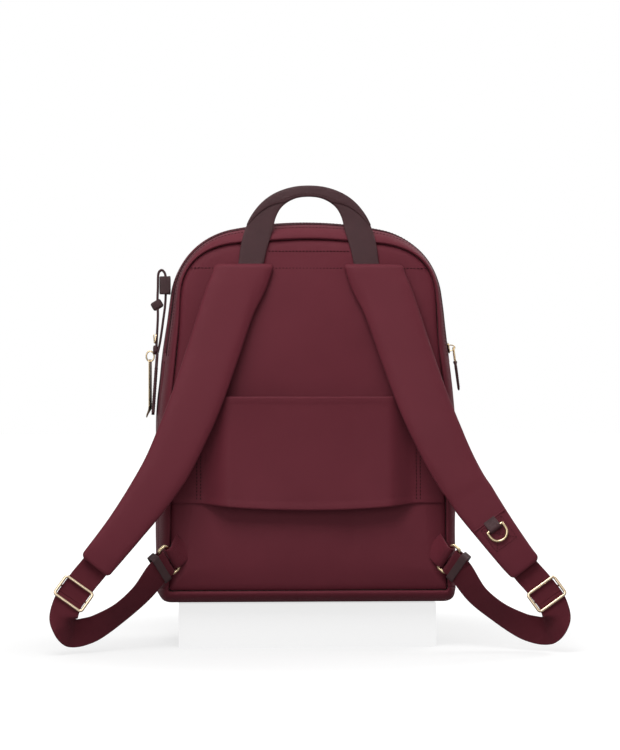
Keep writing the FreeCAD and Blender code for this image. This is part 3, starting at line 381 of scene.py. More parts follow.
def gusset_profile(seam_inset, start_y, side):
    """(inset, y) across the gusset, from start_y to the seam at the back (side -1) or front
    (side 1): straight along the barrel, then a quarter ellipse that swells past the seam and
    dips into its groove."""
    swell = 0.0012
    turn_y = 0.050
    count = 26
    bend = np.linspace(0.0, math.pi / 2, count)[None, :]
    base = barrel_inset(turn_y)
    inset = base + (seam_inset[:, None] - 0.0006 - base) * (1 - np.cos(bend)) ** 0.92
    depth = turn_y + (half_depth + swell - turn_y) * np.sin(bend)
    depth = np.broadcast_to(depth, inset.shape)
    steps = np.linspace(0.0, 1.0, 10)[None, :-1]
    first = np.broadcast_to(np.asarray(start_y, float).reshape(-1, 1), (len(seam_inset), 1))
    run_y = first + (side * turn_y - first) * steps
    groove_inset = seam_inset[:, None] + np.array([[0.0004, 0.0008]])
    groove_y = np.broadcast_to(np.array([[half_depth - 0.0006, half_depth - 0.0030]]),
                               groove_inset.shape)
    inset = np.concatenate([barrel_inset(run_y), inset, groove_inset], axis=1)
    y = np.concatenate([run_y, side * depth, side * groove_y], axis=1)
    return inset, y


def wrinkle(grid, amount, wave):
    """Slight unevenness of sewn cloth: three crossed sines of that wavelength."""
    x, y, z = grid[..., 0], grid[..., 1], grid[..., 2]
    k = 2 * math.pi / wave
    rolls = (np.sin(k * (0.8 * x + 0.6 * z) + 1.3) + np.sin(k * 1.7 * (0.5 * y - 0.8 * z + 0.3 * x))
             + np.sin(k * 0.55 * (z - x + 0.7 * y) + 0.4))
    return amount * rolls / 3


zip_y = -0.0445
zip_slot = 0.0053
zip_low = 0.250
base_top = 0.016
above_base = np.flatnonzero(rim_z > base_top - 0.002)
above_base = slice(above_base[0], above_base[-1] + 1)

back_profile = gusset_profile(back_inset, zip_y - zip_slot + 0.0003, -1)
back_grid = rim_rows(back_profile, above_base)
uneven = wrinkle(back_grid, 0.0006, 0.09)
back_grid[..., 0] -= uneven * np.sign(back_grid[..., 0])
back_gusset = surface("back_gusset_cloth", back_grid, nylon, "bag", inside=bag_middle)
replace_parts(thicken(back_gusset, cloth_wall), "back_gusset")

# Below the ends of the zip the front gusset runs back under the edge of the back gusset.
front_start = np.where(rim_z > zip_low, zip_y + zip_slot - 0.0003, zip_y - zip_slot - 0.0014)
front_profile = gusset_profile(front_inset, front_start, 1)
tuck = 0.0010 * (1 - ease(front_profile[1], zip_y - 0.004, zip_y + 0.004))
front_profile = (front_profile[0] + np.where(rim_z[:, None] > zip_low, 0.0, tuck), front_profile[1])
front_grid = rim_rows(front_profile, above_base)
front_grid[..., 0] -= wrinkle(front_grid, 0.0006, 0.08) * np.sign(front_grid[..., 0])
front_gusset = surface("front_gusset_cloth", front_grid, nylon, inside=bag_middle)
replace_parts(thicken(front_gusset, cloth_wall), "front_gusset_upper", "fold_gusset",
            "side_gusset_left", "side_gusset_right")
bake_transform(front_gusset)

# The base is one cloth from seam to seam, its ends turned up over the gussets.
base_index = np.flatnonzero(rim_z < base_top + 0.0004)
base_index = np.roll(base_index, np.count_nonzero(base_index > outline_count // 2))
base_back = gusset_profile(back_inset, 0.0, -1)
base_front = gusset_profile(front_inset, 0.0, 1)
base_profile = (np.concatenate([base_back[0][:, ::-1], base_front[0][:, 1:]], axis=1) - 0.0004,
                np.concatenate([base_back[1][:, ::-1], base_front[1][:, 1:]], axis=1))
base_grid = rim_rows(base_profile)[base_index]
base_grid[..., 2] = np.maximum(base_grid[..., 2], 0.0002)
base_cloth = surface("base_cloth", base_grid, nylon, "bag", inside=(0.0, 0.0, 0.1))
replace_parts(thicken(base_cloth, cloth_wall), "base_panel")


def panel_grid(inset, depth, side, rings=44):
    """Panel inside a seam: rings from the seam to the middle, in equal shares of the way, with
    depth(x, z, from_edge) as its distance from the bag's middle plane."""
    edge = rim - rim_normal * (inset[:, None] + 0.0010)
    middle = np.array([0.0, 0.185])
    share = 1 - np.linspace(0.0, 1.0, rings) ** 1.6
    share[-1] = 0.004
    place = middle + (edge[:, None, :] - middle) * share[None, :, None]
    reach = np.linalg.norm(edge - middle, axis=1)[:, None]
    from_edge = (1 - share[None, :]) * reach
    y = side * depth(place[..., 0], place[..., 1], from_edge)
    return np.stack([place[..., 0], y, place[..., 1]], -1)


def back_depth(x, z, from_edge):
    """Back panel: it rises from the groove within 9 mm, is flat where the straps lie on it,
    and is fuller at the foot of the bag."""
    rise = 1 - np.exp(-from_edge / 0.0035)
    foot = 1 - ease(z, 0.06, 0.20)
    full = 0.0035 * foot * ease(from_edge, 0.0, 0.030)
    middle = 0.0012 * np.cos(np.clip(x / 0.045, -1, 1) * math.pi / 2) * ease(from_edge, 0.01, 0.05)
    return half_depth - 0.0032 + 0.0030 * rise + full + middle


def close_middle(piece, rows_inner):
    """Fans the innermost ring of a panel to one point, so that its middle is closed."""
    mesh = piece.data
    count = len(mesh.vertices)
    points = np.empty(count * 3)
    mesh.vertices.foreach_get("co", points)
    points = points.reshape(-1, 3)
    ring = np.arange(rows_inner) * (count // rows_inner) + count // rows_inner - 1
    faces = [list(polygon.vertices) for polygon in mesh.polygons]
    points = np.vstack([points, points[ring].mean(axis=0)])
    fan = np.stack([ring, np.roll(ring, -1), np.full(rows_inner, count)], -1)
    normal = mesh.polygons[len(faces) - 1].normal
    a, b, c = points[fan[0]]
    if np.dot(np.cross(b - a, c - a), normal) < 0:
        fan = fan[:, ::-1]
    fresh = bpy.data.meshes.new(mesh.name)
    fresh.from_pydata(points.tolist(), [], faces + fan.tolist())
    fresh.polygons.foreach_set("use_smooth", np.ones(len(fresh.polygons), dtype=bool))
    fresh.materials.append(mesh.materials[0])
    piece.data = fresh
    bpy.data.meshes.remove(mesh)
    return piece


def inflate(piece, limit, pinned=None, pressure=4.0, frames=20):
    """Cloth simulation that blows a piece up a little, as its padding does, on a copy of its
    mesh. A point that would move by d moves by d limit / (d + limit); limit and pinned hold a
    value for each point."""
    mesh = piece.data
    start = np.empty(len(mesh.vertices) * 3)
    mesh.vertices.foreach_get("co", start)
    start = start.reshape(-1, 3)
    dummy = bpy.data.objects.new(piece.name + "_dummy", mesh.copy())
    bpy.context.scene.collection.objects.link(dummy)
    simulation = dummy.modifiers.new("cloth", "CLOTH")
    settings = simulation.settings
    settings.quality = 6
    settings.mass = 0.1
    settings.tension_stiffness = settings.compression_stiffness = 30.0
    settings.shear_stiffness = 15.0
    settings.bending_stiffness = 2.0
    settings.use_pressure = True
    settings.uniform_pressure_force = pressure
    settings.effector_weights.gravity = 0.0
    simulation.collision_settings.use_collision = False
    if pinned is not None:
        group = dummy.vertex_groups.new(name="pinned")
        group.add(np.flatnonzero(pinned).tolist(), 1.0, "REPLACE")
        settings.vertex_group_mass = "pinned"
    simulation.point_cache.frame_start, simulation.point_cache.frame_end = 1, frames
    for step in range(1, frames + 1):
        bpy.context.scene.frame_set(step)
    result = dummy.evaluated_get(bpy.context.evaluated_depsgraph_get())
    end = np.empty(len(result.data.vertices) * 3)
    result.data.vertices.foreach_get("co", end)
    move = end.reshape(-1, 3) - start
    size = np.linalg.norm(move, axis=1) + 1e-9
    limit = np.broadcast_to(limit, size.shape)
    mesh.vertices.foreach_set("co", (start + move * (limit / (size + limit + 1e-9))[:,
                                                                                    None]).ravel())
    mesh.update()
    spare = dummy.data
    bpy.data.objects.remove(dummy)
    bpy.data.meshes.remove(spare)
    bpy.context.scene.frame_set(1)


back_wrinkle = (0.0007, 0.11)
back_points = panel_grid(back_inset, back_depth, -1)
back_points[..., 1] -= wrinkle(back_points, *back_wrinkle)
back_pad = surface("back_panel_pad", back_points, nylon, along=True, inside=bag_middle)
close_middle(back_pad, outline_count)
place = np.array([vertex.co[:] for vertex in back_pad.data.vertices])
swell = (ease(place[:, 2], 0.212, 0.235) * (1 - ease(place[:, 2], 0.305, 0.330))
         + 0.8 * ease(place[:, 2], 0.02, 0.045) * (1 - ease(place[:, 2], 0.075, 0.094)))
swell *= 1 - ease(np.abs(place[:, 0]), 0.055, 0.110)
inflate(back_pad, 0.0030 * swell, pinned=swell < 0.001, pressure=2.0)
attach(back_pad, "bag")
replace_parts(thicken(back_pad, cloth_wall), "back_panel", "back_foam")


def front_depth(x, z, from_edge):
    """Front panel: it rises from the groove and is a little fuller at its middle."""
    rise = 1 - np.exp(-from_edge / 0.0035)
    return half_depth - 0.0032 + 0.0030 * rise + 0.0022 * ease(from_edge, 0.0, 0.09)


front_points = panel_grid(front_inset, front_depth, 1)
front_points[..., 1] += wrinkle(front_points, 0.0008, 0.12)
front_panel = surface("front_panel_cloth", front_points, nylon, along=True, inside=bag_middle)
close_middle(front_panel, outline_count)
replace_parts(thicken(front_panel, cloth_wall), "front_panel_upper", "fold_panel",
            "front_panel_lower")
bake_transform(front_panel)


# ------------------------------------------------------------------ seams and stitching
# Stitches are short, plump lengths of burgundy thread that sink into the cloth at both ends.

thread = cloth("burgundy thread", rgb(46, 15, 22), pitch=0.0005, roughness=0.6, sheen=0.0)


def unit(vectors):
    """Vectors brought to length 1."""
    return vectors / np.linalg.norm(vectors, axis=-1, keepdims=True)


def resample(path, spacing):
    """Path cut to equal steps of about that spacing, by linear interpolation on its length."""
    run = np.concatenate([[0.0], np.cumsum(np.linalg.norm(np.diff(path, axis=0), axis=1))])
    at = np.linspace(0.0, run[-1], max(2, int(round(run[-1] / spacing)) + 1))
    return np.stack([np.interp(at, run, path[:, k]) for k in range(path.shape[1])], -1)


def resample_loop(loop, spacing):
    """Closed path cut to equal steps of about that spacing, its first point not repeated."""
    return resample(np.vstack([loop, loop[:1]]), spacing)[:-1]


stitch_pitch = 0.0034


def stitches(name, paths, normal, body, material=None, pitch=stitch_pitch, length=0.0024,
             width=0.0009):
    """Row of stitches on each path: a six-sided spindle to each step, as wide as
    width sqrt(1 - t^2) along its length, half sunk into the cloth. normal is outward."""
    points, faces = [], []
    turn = np.arange(6) * math.pi / 3
    t = np.array([-0.98, -0.6, 0.0, 0.6, 0.98])
    girth = np.sqrt(1 - t * t)
    for path in paths:
        path = resample(np.asarray(path, float), pitch)
        way = unit(np.diff(path, axis=0))
        middle = (path[1:] + path[:-1]) / 2
        out = np.broadcast_to(unit(np.asarray(normal, float)), way.shape)
        side = unit(np.cross(way, out))
        out = np.cross(side, way)
        ring = (np.cos(turn)[None, None, :, None] * side[:, None, None, :]
                + np.sin(turn)[None, None, :, None] * out[:, None, None, :])
        place = (middle[:, None, None, :] + way[:, None, None, :] * (t * length / 2)[None, :, None, None]
                 + ring * (girth * width / 2)[None, :, None, None])
        count = len(middle)
        base = sum(len(p) for p in points)
        i, j, k = np.meshgrid(np.arange(count), np.arange(4), np.arange(6), indexing="ij")
        start = base + i * 30 + j * 6
        quads = np.stack([start + k, start + (k + 1) % 6, start + 6 + (k + 1) % 6, start + 6 + k],
                         -1)
        ends = np.stack([base + np.arange(count)[:, None] * 30 + np.arange(6)[None, ::-1],
                         base + np.arange(count)[:, None] * 30 + 24 + np.arange(6)[None, :]])
        points.append(place.reshape(-1, 3))
        faces += quads.reshape(-1, 4).tolist() + ends.reshape(-1, 6).tolist()
    piece = mesh_piece(name, np.concatenate(points), faces, material or thread, body)
    return piece


def each_stitch(directions, row):
    """Directions along a row, thinned to one for each of its stitches."""
    count = len(resample(row, stitch_pitch)) - 1
    return directions[np.linspace(0, len(directions) - 1, count).astype(int)]


def line(start, end, count=40):
    """Straight path from start to end."""
    return np.linspace(np.array(start, float), np.array(end, float), count)


def on_panel(start_x, end_x, z):
    """Level path on the back panel's face."""
    x = np.linspace(start_x, end_x, 40)
    path = np.stack([x, -back_depth(x, 0 * x + z, 0.020 + 0 * x), 0 * x + z], -1)
    path[:, 1] -= wrinkle(path, *back_wrinkle) + 0.0001
    return path


yoke_low, yoke_high = 0.3365, 0.3535
stitches("yoke_stitches", [on_panel(-0.034, 0.034, yoke_low), on_panel(-0.119, -0.094, yoke_low),
                           on_panel(0.094, 0.119, yoke_low), on_panel(-0.041, 0.041, yoke_high)],
         (0, -1, 0), "bag")


# ------------------------------------------------------------------ lining and boards
# Grey-beige lining cloth hangs inside both halves of the bag. Behind it are a stiff board in
# the back and another on the floor, so that the bag keeps its shape.

lining_cloth = cloth("beige lining", rgb(150, 136, 128), pitch=0.0005, roughness=0.55)
lining_gap = 0.0028


def lining(name, start_y, end_y, depth, side, inset):
    """Lining: along the barrel from the zip to the corner, then a flat panel to its middle."""
    y = np.linspace(start_y, end_y, 12)[None, :]
    gap = np.broadcast_to(barrel_inset(y) + lining_gap, (outline_count, 12))
    ring = rim_rows((gap, y))
    face = panel_grid(inset, depth, side)[:, 1:]
    piece = surface(name, np.concatenate([ring, face], axis=1), lining_cloth, along=True,
                    inside=bag_middle)
    close_middle(piece, outline_count)
    return thicken(piece, 0.0008)


lining_back = lining("lining_back", zip_y - zip_slot, -0.0600, lambda x, z, e: 0.0614 + 0 * x, -1,
                     np.full(outline_count, 0.0085))
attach(lining_back, "bag")
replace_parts(lining_back, "lining_main")
lining_front = lining("lining_front", zip_y + zip_slot, 0.0640,
                      lambda x, z, e: 0.0678 + 0.0018 * ease(e, 0.004, 0.02), 1,
                      np.full(outline_count, 0.0165))
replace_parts(lining_front, "lining_fold", "lining_upper")
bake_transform(lining_front)


def plain_material(name, colour, roughness, grain=0.0004, bump=0.2, **constants):
    """Plastic, foam or metal: one colour with a fine noise grain in its surface and a slight
    change of roughness."""
    material, tree, shader = new_material(name, roughness, Base_Color=colour, **constants)
    where = add_node(tree, "TexCoord").outputs["Object"]
    fine = add_node(tree, "TexNoise", Vector=where, Scale=1.0 / grain, Detail=2.0).outputs["Fac"]
    broad = add_node(tree, "TexNoise", Vector=where, Scale=60.0, Detail=3.0).outputs["Fac"]
    rough = maths(tree, "MULTIPLY_ADD", broad, roughness * 0.5, roughness * 0.75)
    tree.links.new(rough, shader.inputs["Roughness"])
    raised = add_node(tree, "Bump", Height=fine, Strength=bump, Distance=grain * 0.5)
    tree.links.new(raised.outputs["Normal"], shader.inputs["Normal"])
    return material


board_plastic = plain_material("black board", rgb(38, 38, 40), 0.6, grain=0.0008)
for title in ("back_board", "base_board"):
    nodes[title].data.materials.clear()
    nodes[title].data.materials.append(board_plastic)


# ------------------------------------------------------------------ main zip
# Two woven tapes with a coil of nylon on each edge, sewn into the gusset from one side of the
# bag over its top to the other. Small turned patches finish both ends.

tape_cloth = cloth("burgundy zip tape", rgb(74, 28, 37), pitch=0.0006, roughness=0.65, bump=0.6)
coil_plastic = plain_material("burgundy zip coil", rgb(78, 30, 40), 0.35, bump=0.1)
along_zip = np.flatnonzero(rim_z > zip_low)
along_zip = slice(along_zip[0], along_zip[-1] + 1)


def unit_profile(count, power):
    """Closed superellipse of half-size 1: |p|^power + |q|^power = 1."""
    angle = np.arange(count) * 2 * math.pi / count
    p, q = np.cos(angle), np.sin(angle)
    shape = np.stack([np.sign(p) * np.abs(p) ** (2 / power), np.sign(q) * np.abs(q) ** (2 / power)],
                     -1)
    return shape[None, :, :]


def follow(path, across, profile, closed=False):
    """Profile carried along a path: path + p across + q normal, where the normal is the cross
    product of the path's direction and across. profile holds (p, q) for each point round it."""
    path = np.asarray(path, float)
    if closed:
        way = np.roll(path, -1, axis=0) - np.roll(path, 1, axis=0)
    else:
        way = np.gradient(path, axis=0)
    way = unit(way)
    across = np.broadcast_to(np.asarray(across, float), path.shape)
    across = unit(across - way * np.sum(across * way, axis=1, keepdims=True))
    normal = np.cross(way, across)
    return (path[:, None, :] + across[:, None, :] * profile[..., 0:1]
            + normal[:, None, :] * profile[..., 1:2])


def sweep(name, path, across, profile, material, body=None, closed=False):
    """Piece made by a profile carried along a path, with closed ends unless the path is."""
    return surface(name, follow(path, across, profile, closed), material, body, around=True,
                   along=closed, ends=not closed)


coil_step, coil_wire = 0.00022, 0.00026
coil_rise, coil_reach = 0.00055, 0.0006
steps_per_turn = 7


for label, side in (("back", -1), ("front", 1)):
    body = "bag" if side < 0 else "front_flap"
    y = zip_y + side * np.linspace(zip_slot + 0.0015, 0.0011, 5)[None, :]
    inset = np.broadcast_to(barrel_inset(y) + np.array([[0.0019, 0.0016, 0.0010, 0.0008, 0.0008]]),
                            (outline_count, 5))
    tape = surface("zip_tape_cloth_" + label, rim_rows((inset, y), along_zip), tape_cloth, body,
                   inside=bag_middle)
    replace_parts(thicken(tape, 0.0008), "zip_tape_" + label)
    y = np.full((1, 1), zip_y + side * 0.0007)
    centre = rim_rows((np.broadcast_to(barrel_inset(y) + 0.0004, (outline_count, 1)), y),
                      along_zip)[:, 0]
    centre = resample(centre, coil_step)
    outward = unit(np.cross(np.gradient(centre, axis=0), (0.0, 1.0, 0.0)))
    turns = np.arange(len(centre)) * 2 * math.pi / steps_per_turn + (0 if side < 0 else math.pi)
    helix = centre + outward * coil_rise * np.sin(turns)[:, None]
    helix[:, 1] += coil_reach * np.cos(turns)
    coil = sweep("zip_coil_wire_" + label, helix, outward, unit_profile(5, 2) * coil_wire,
                 coil_plastic, body)
    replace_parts(coil, "zip_coil_" + label)

# A line of stitches runs beside the zip on both edges of the gusset.
for label, side in (("back", -1), ("front", 1)):
    y = np.full((1, 1), zip_y + side * (zip_slot + 0.0022))
    row = rim_rows((np.broadcast_to(barrel_inset(y) - 0.0001, (outline_count, 1)), y), along_zip)[:,
                                                                                                  0]
    out = np.stack([rim_normal[along_zip, 0], 0 * rim_normal[along_zip, 0],
                    rim_normal[along_zip, 1]], -1)
    stitches("zip_stitches_" + label, [row], each_stitch(out, row),
             "bag" if side < 0 else "front_flap")

# The zip's facing is folded and sewn down on the rounded edge of the back gusset. A thin cord marks the real fold,
# and its near-black colour is painted shade in the fold's crease.
crease_shade_cloth = cloth("painted crease shade", rgb(38, 12, 18), pitch=0.0005, roughness=0.7, sheen=0.0)
beside_zip = rim_z[above_base] > zip_low - 0.002
facing_rows = [back_grid[:, column][beside_zip] for column in (15, 21)]
# Cord along the facing's fold: real fold, near-black colour as painted shade in its crease.
facing = sweep("zip_facing_fold_shade", resample(facing_rows[0], 0.002), (0, 1, 0),
               unit_profile(8, 2) * 0.0006, crease_shade_cloth, "bag")
row = facing_rows[1]
out = unit(np.stack([row[:, 0], np.full(len(row), -0.12), row[:, 2] - 0.25], -1))
stitches("zip_facing_stitches", [row], each_stitch(out, row), "bag")

for label, sign in (("left", -1), ("right", 1)):
    height = np.linspace(0.2425, 0.2515, 9)
    x = sign * np.interp(height, rim_z[:outline_count // 2], rim_x[:outline_count // 2])
    y = zip_y + np.linspace(-1, 1, 13) * (zip_slot + 0.0018)
    depth = 0.0030 - 0.0034 * np.sqrt(1 - (np.linspace(-1, 1, 13) * 0.96) ** 2)
    # The patch follows the barrel inward, as the zip does.
    sunk = barrel_swell * (zip_y / barrel_reach) ** 2 + 0.0002
    patch = np.stack(np.broadcast_arrays(x[:, None] - sign * (sunk + depth[None, :]), y[None, :],
                                         height[:, None]), -1)
    piece = surface("zip_end_patch_" + label, patch, nylon, "bag", inside=bag_middle)
    thicken(piece, 0.0012)


# ------------------------------------------------------------------ laptop sleeve
# A padded wall bound at its top, sewn inside the back of the bag on gussets of lining cloth.

def pillow(name, centre, half, powers, material, body, axes=((1, 0, 0), (0, 1, 0), (0, 0, 1)),
           counts=(48, 24)):
    """Superellipsoid: centre + a C(u) C(v) axis1 + b S(v) axis2 + c S(u) C(v) axis3, where C and
    S are cosine and sine raised to 2 / power with their sign kept."""
    def bent(values, power):
        return np.sign(values) * np.abs(values) ** (2 / power)

    u = np.arange(counts[0])[:, None] * 2 * math.pi / counts[0]
    v = np.linspace(-math.pi / 2 + 0.02, math.pi / 2 - 0.02, counts[1])[None, :]
    flat = bent(np.cos(v), powers[1])
    local = (bent(np.cos(u), powers[0]) * flat, bent(np.sin(v), powers[1]) + 0 * u,
             bent(np.sin(u), powers[0]) * flat)
    axes = unit(np.array(axes, float))
    grid = np.array(centre) + sum((local[k] * half[k])[..., None] * axes[k] for k in range(3))
    return surface(name, np.swapaxes(grid, 0, 1), material, body, around=True, ends=True,
                   inside=centre)


sleeve_low, sleeve_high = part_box("laptop_sleeve")
sleeve_mid = (np.array(sleeve_low) + np.array(sleeve_high)) / 2
sleeve_half = (np.array(sleeve_high) - np.array(sleeve_low)) / 2
pad_half = 0.0026
sleeve_pad = pillow("laptop_sleeve_pad", (0, sleeve_high[1] - pad_half, sleeve_mid[2]),
                    (sleeve_half[0], pad_half, sleeve_half[2]), (12, 2.6), lining_cloth, "bag",
                    counts=(96, 20))
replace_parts(sleeve_pad, "laptop_sleeve")
inflate(sleeve_pad, 0.0008)
corner_y = np.array([sleeve_low[1], sleeve_low[1] + 0.006, sleeve_high[1] - 0.004,
                     sleeve_high[1] - 0.0015])
corner_z = np.linspace(sleeve_low[2] + 0.002, sleeve_high[2] - 0.002, 30)
for label, sign in (("left", -1), ("right", 1)):
    x = sign * (sleeve_half[0] - 0.001 + np.array([0.0, -0.0035, 0.0, 0.0005]))
    wall = np.stack(np.broadcast_arrays(x[:, None], corner_y[:, None], corner_z[None, :]), -1)
    piece = surface("laptop_sleeve_gusset_" + label, wall, lining_cloth, "bag")
    thicken(piece, 0.0008, 0.0)
top_edge = line((-sleeve_half[0] + 0.002, sleeve_high[1] - pad_half, sleeve_high[2] - 0.001),
                (sleeve_half[0] - 0.002, sleeve_high[1] - pad_half, sleeve_high[2] - 0.001))
binding = sweep("laptop_sleeve_binding", top_edge, (0, 1, 0), unit_profile(16, 3) * 0.0029,
                tape_cloth, "bag")


# ------------------------------------------------------------------ trolley sleeve
# A band of the same nylon across the back panel, sewn down at both sides and open at its top
# and foot, so that a wheeled case's handle passes up through it.

trolley_foot = 0.109
trolley_flat = 0.078
trolley_edge = 0.1375
trolley_low, trolley_high = 0.098, 0.208
across = np.linspace(-trolley_edge, trolley_edge, 141)[:, None]
share = np.linspace(0.0, 1.0, 61)[None, :]
low_edge = trolley_low - 0.003 + 0.006 * np.clip(np.abs(across) / trolley_foot, 0, 1) ** 2
band_z = low_edge + (trolley_high - low_edge) * share
rise = 0.0158 * ease(trolley_foot - np.abs(across), 0.0, trolley_foot - trolley_flat)
hollow = 0.0016 * (1 - (2 * share - 1) ** 2) * ease(trolley_foot - np.abs(across), 0.0, 0.06)
under = np.minimum(back_depth(across, band_z, trolley_edge - np.abs(across)), 0.0758)
hem = 0.0004 * (ease(share, 0.94, 0.955) + ease(-share, -0.06, -0.045))
band_y = -(under + 0.0008 + rise - hollow + hem)
ripple = 0.0006 * np.sin(across * 46 + band_z * 31)
band_y = band_y + ripple * ease(trolley_foot - np.abs(across), 0.0, 0.03)
trolley_grid = np.stack(np.broadcast_arrays(across, band_y, band_z), -1)
trolley_band = surface("trolley_sleeve_band", trolley_grid, nylon, "bag", inside=(0.0, 0.0, 0.15))
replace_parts(thicken(trolley_band, 0.0013), "trolley_sleeve")
sleeve_rows = []
for sign in (-1, 1):
    for x in (trolley_foot, trolley_foot + 0.0035):
        column = int(np.argmin(np.abs(across[:, 0] - sign * x)))
        sleeve_rows.append(trolley_grid[column, 2:-2] + np.array([0.0, -0.0002, 0.0]))
stitches("trolley_sleeve_stitches", sleeve_rows, (0, -1, 0), "bag")


# ------------------------------------------------------------------ front pocket
# A flat pocket of the same nylon with rounded corners and a short bellows side, closed by a
# zip across its upper part.

def rounded_rectangle(half_a, half_b, radius, count=16):
    """Closed path (a, b): four straight sides joined by quarter circles of that radius."""
    turn = np.linspace(0.0, math.pi / 2, count)
    arcs = []
    for k, (sign_a, sign_b) in enumerate(((1, 1), (-1, 1), (-1, -1), (1, -1))):
        angle = turn + k * math.pi / 2
        arcs.append(np.stack([sign_a * (half_a - radius) + radius * np.cos(angle),
                              sign_b * (half_b - radius) + radius * np.sin(angle)], -1))
    return np.concatenate(arcs)


pocket_low, pocket_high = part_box("front_pocket")
pocket_mid = (np.array(pocket_low) + np.array(pocket_high)) / 2
pocket_half = (np.array(pocket_high) - np.array(pocket_low)) / 2
pocket_back = half_depth - 0.0004
pocket_side = 0.0085
pocket_full = 0.0012
pocket_wrinkle = (0.0008, 0.07)
pocket_edge = resample_loop(rounded_rectangle(pocket_half[0], pocket_half[2], 0.014), 0.0028)
side_y = np.linspace(pocket_back, pocket_back + pocket_side, 8)
turn = np.linspace(0.0, math.pi / 2, 12)
roll = 0.0080
inset_run = np.concatenate([-0.0003 * np.sin(np.linspace(0, math.pi, 8)),
                            roll * (1 - np.cos(turn))])
depth_run = np.concatenate([side_y, pocket_back + pocket_side + roll * np.sin(turn)])
scale_a = 1 - inset_run / pocket_half[0]
scale_b = 1 - inset_run / pocket_half[2]
inner = 1 - np.linspace(0.0, 1.0, 30)[1:] * 0.995
scale_a = np.concatenate([scale_a, scale_a[-1] * inner])
scale_b = np.concatenate([scale_b, scale_b[-1] * inner])
depth_run = np.concatenate([depth_run, np.full(29, depth_run[-1])])
pocket_x = pocket_edge[:, 0:1] * scale_a[None, :]
pocket_z = pocket_mid[2] + pocket_edge[:, 1:2] * scale_b[None, :]


def pocket_fullness(x, z):
    """1 at the middle of the pocket, falling as a parabola to 0 at its edges."""
    return (1 - (x / pocket_half[0]) ** 2) * (1 - ((z - pocket_mid[2]) / pocket_half[2]) ** 2)


fullness = pocket_fullness(pocket_x, pocket_z)
pocket_y = depth_run[None, :] + pocket_full * fullness
pocket_grid = np.stack([pocket_x, pocket_y, pocket_z], -1)
pocket_grid[..., 1] += wrinkle(pocket_grid, *pocket_wrinkle) * fullness
pocket_cloth = surface("front_pocket_cloth", pocket_grid, nylon, along=True, inside=pocket_mid)
close_middle(pocket_cloth, len(pocket_edge))
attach(thicken(pocket_cloth, 0.0014), "bag")
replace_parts(pocket_cloth, "front_pocket")

pocket_zip_z = 0.1473
pocket_zip_half = 0.103
pocket_zip_x = np.linspace(-pocket_zip_half, pocket_zip_half, 120)


def pocket_face(x, z):
    """Depth of the pocket's front face: its flat depth plus its fullness and wrinkles."""
    full = pocket_fullness(x, z)
    points = np.stack(np.broadcast_arrays(x, 0 * x + depth_run[-1] + pocket_full * full, z + 0 * x),
                      -1)
    return depth_run[-1] + pocket_full * full + wrinkle(points, *pocket_wrinkle) * full


tape_z = pocket_zip_z + np.linspace(-0.0052, 0.0052, 11)[None, :]
tape_y = pocket_face(pocket_zip_x[:, None], tape_z) + 0.0006
tape_grid = np.stack(np.broadcast_arrays(pocket_zip_x[:, None], tape_y, tape_z), -1)
pocket_tape = surface("pocket_zip_tape_cloth", tape_grid, tape_cloth, "bag", inside=pocket_mid)
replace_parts(thicken(pocket_tape, 0.0008), "pocket_zip_tape")
for label, sign in (("lower", -1), ("upper", 1)):
    lip_z = np.full_like(pocket_zip_x, pocket_zip_z + sign * 0.0056)
    lip = np.stack([pocket_zip_x, pocket_face(pocket_zip_x, lip_z) + 0.0003, lip_z], -1)
    piece = sweep("pocket_zip_lip_" + label, lip, (0, 0, 1),
                  unit_profile(14, 2.4) * (0.0014, 0.0010), nylon, "bag")
coil_z = np.full_like(pocket_zip_x, pocket_zip_z)
coil_line = np.stack([pocket_zip_x, pocket_face(pocket_zip_x, coil_z) + 0.0009, coil_z], -1)
coil_line = resample(coil_line, coil_step)
coils = []
for sign in (-1, 1):
    turns = np.arange(len(coil_line)) * 2 * math.pi / steps_per_turn + (0 if sign < 0 else math.pi)
    helix = coil_line + np.stack([0 * turns, coil_rise * np.sin(turns),
                                  coil_reach * np.cos(turns) + sign * 0.0007], -1)
    piece = sweep("pocket_zip_coil_" + ("lower" if sign < 0 else "upper"), helix, (0, 1, 0),
                  unit_profile(5, 2) * coil_wire, coil_plastic, "bag")
    coils.append(piece)
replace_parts(coils[0], "pocket_zip_coil")


# ------------------------------------------------------------------ zip sliders and pulls
# Champagne-gold sliders on the coils, each with a bail, an oval ring through it and a leather
# tongue that tapers to its end.

gold = plain_material("champagne gold", rgb(232, 208, 168), 0.20, grain=0.0003, bump=0.05,
                      Metallic=1.0)


def leather_material(name, colour, grain, roughness=0.42, bump=0.5, crossed=False):
    """Leather: cells of that size as its grain, or a pressed cross-hatch, with a drift in its
    colour and a little more gloss on top of the grain."""
    material, tree, shader = new_material(name, roughness, Specular_IOR_Level=0.32)
    where = add_node(tree, "TexCoord").outputs["Object"]
    if crossed:
        spread = add_node(tree, "SeparateXYZ", Vector=where)
        first = maths(tree, "ADD", spread.outputs["X"], spread.outputs["Z"])
        second = maths(tree, "SUBTRACT", maths(tree, "ADD", spread.outputs["Z"],
                                               spread.outputs["Y"]), spread.outputs["X"])
        height = place_group(tree, weave, Across=first, Along=second, Pitch=grain).outputs["Height"]
    else:
        cells = add_node(tree, "TexVoronoi", {"feature": "DISTANCE_TO_EDGE"}, Vector=where,
                         Scale=1.0 / grain)
        height = maths(tree, "MINIMUM", maths(tree, "MULTIPLY", cells.outputs["Distance"], 4.0),
                       1.0)
    shade = place_group(tree, drift, Vector=where, Scale=90.0, Amount=0.18, Colour=colour)
    tree.links.new(shade.outputs["Colour"], shader.inputs["Base Color"])
    rough = maths(tree, "MULTIPLY_ADD", height, -0.12, roughness + 0.08)
    tree.links.new(rough, shader.inputs["Roughness"])
    raised = add_node(tree, "Bump", Height=height, Strength=bump, Distance=grain * 0.25)
    tree.links.new(raised.outputs["Normal"], shader.inputs["Normal"])
    return material


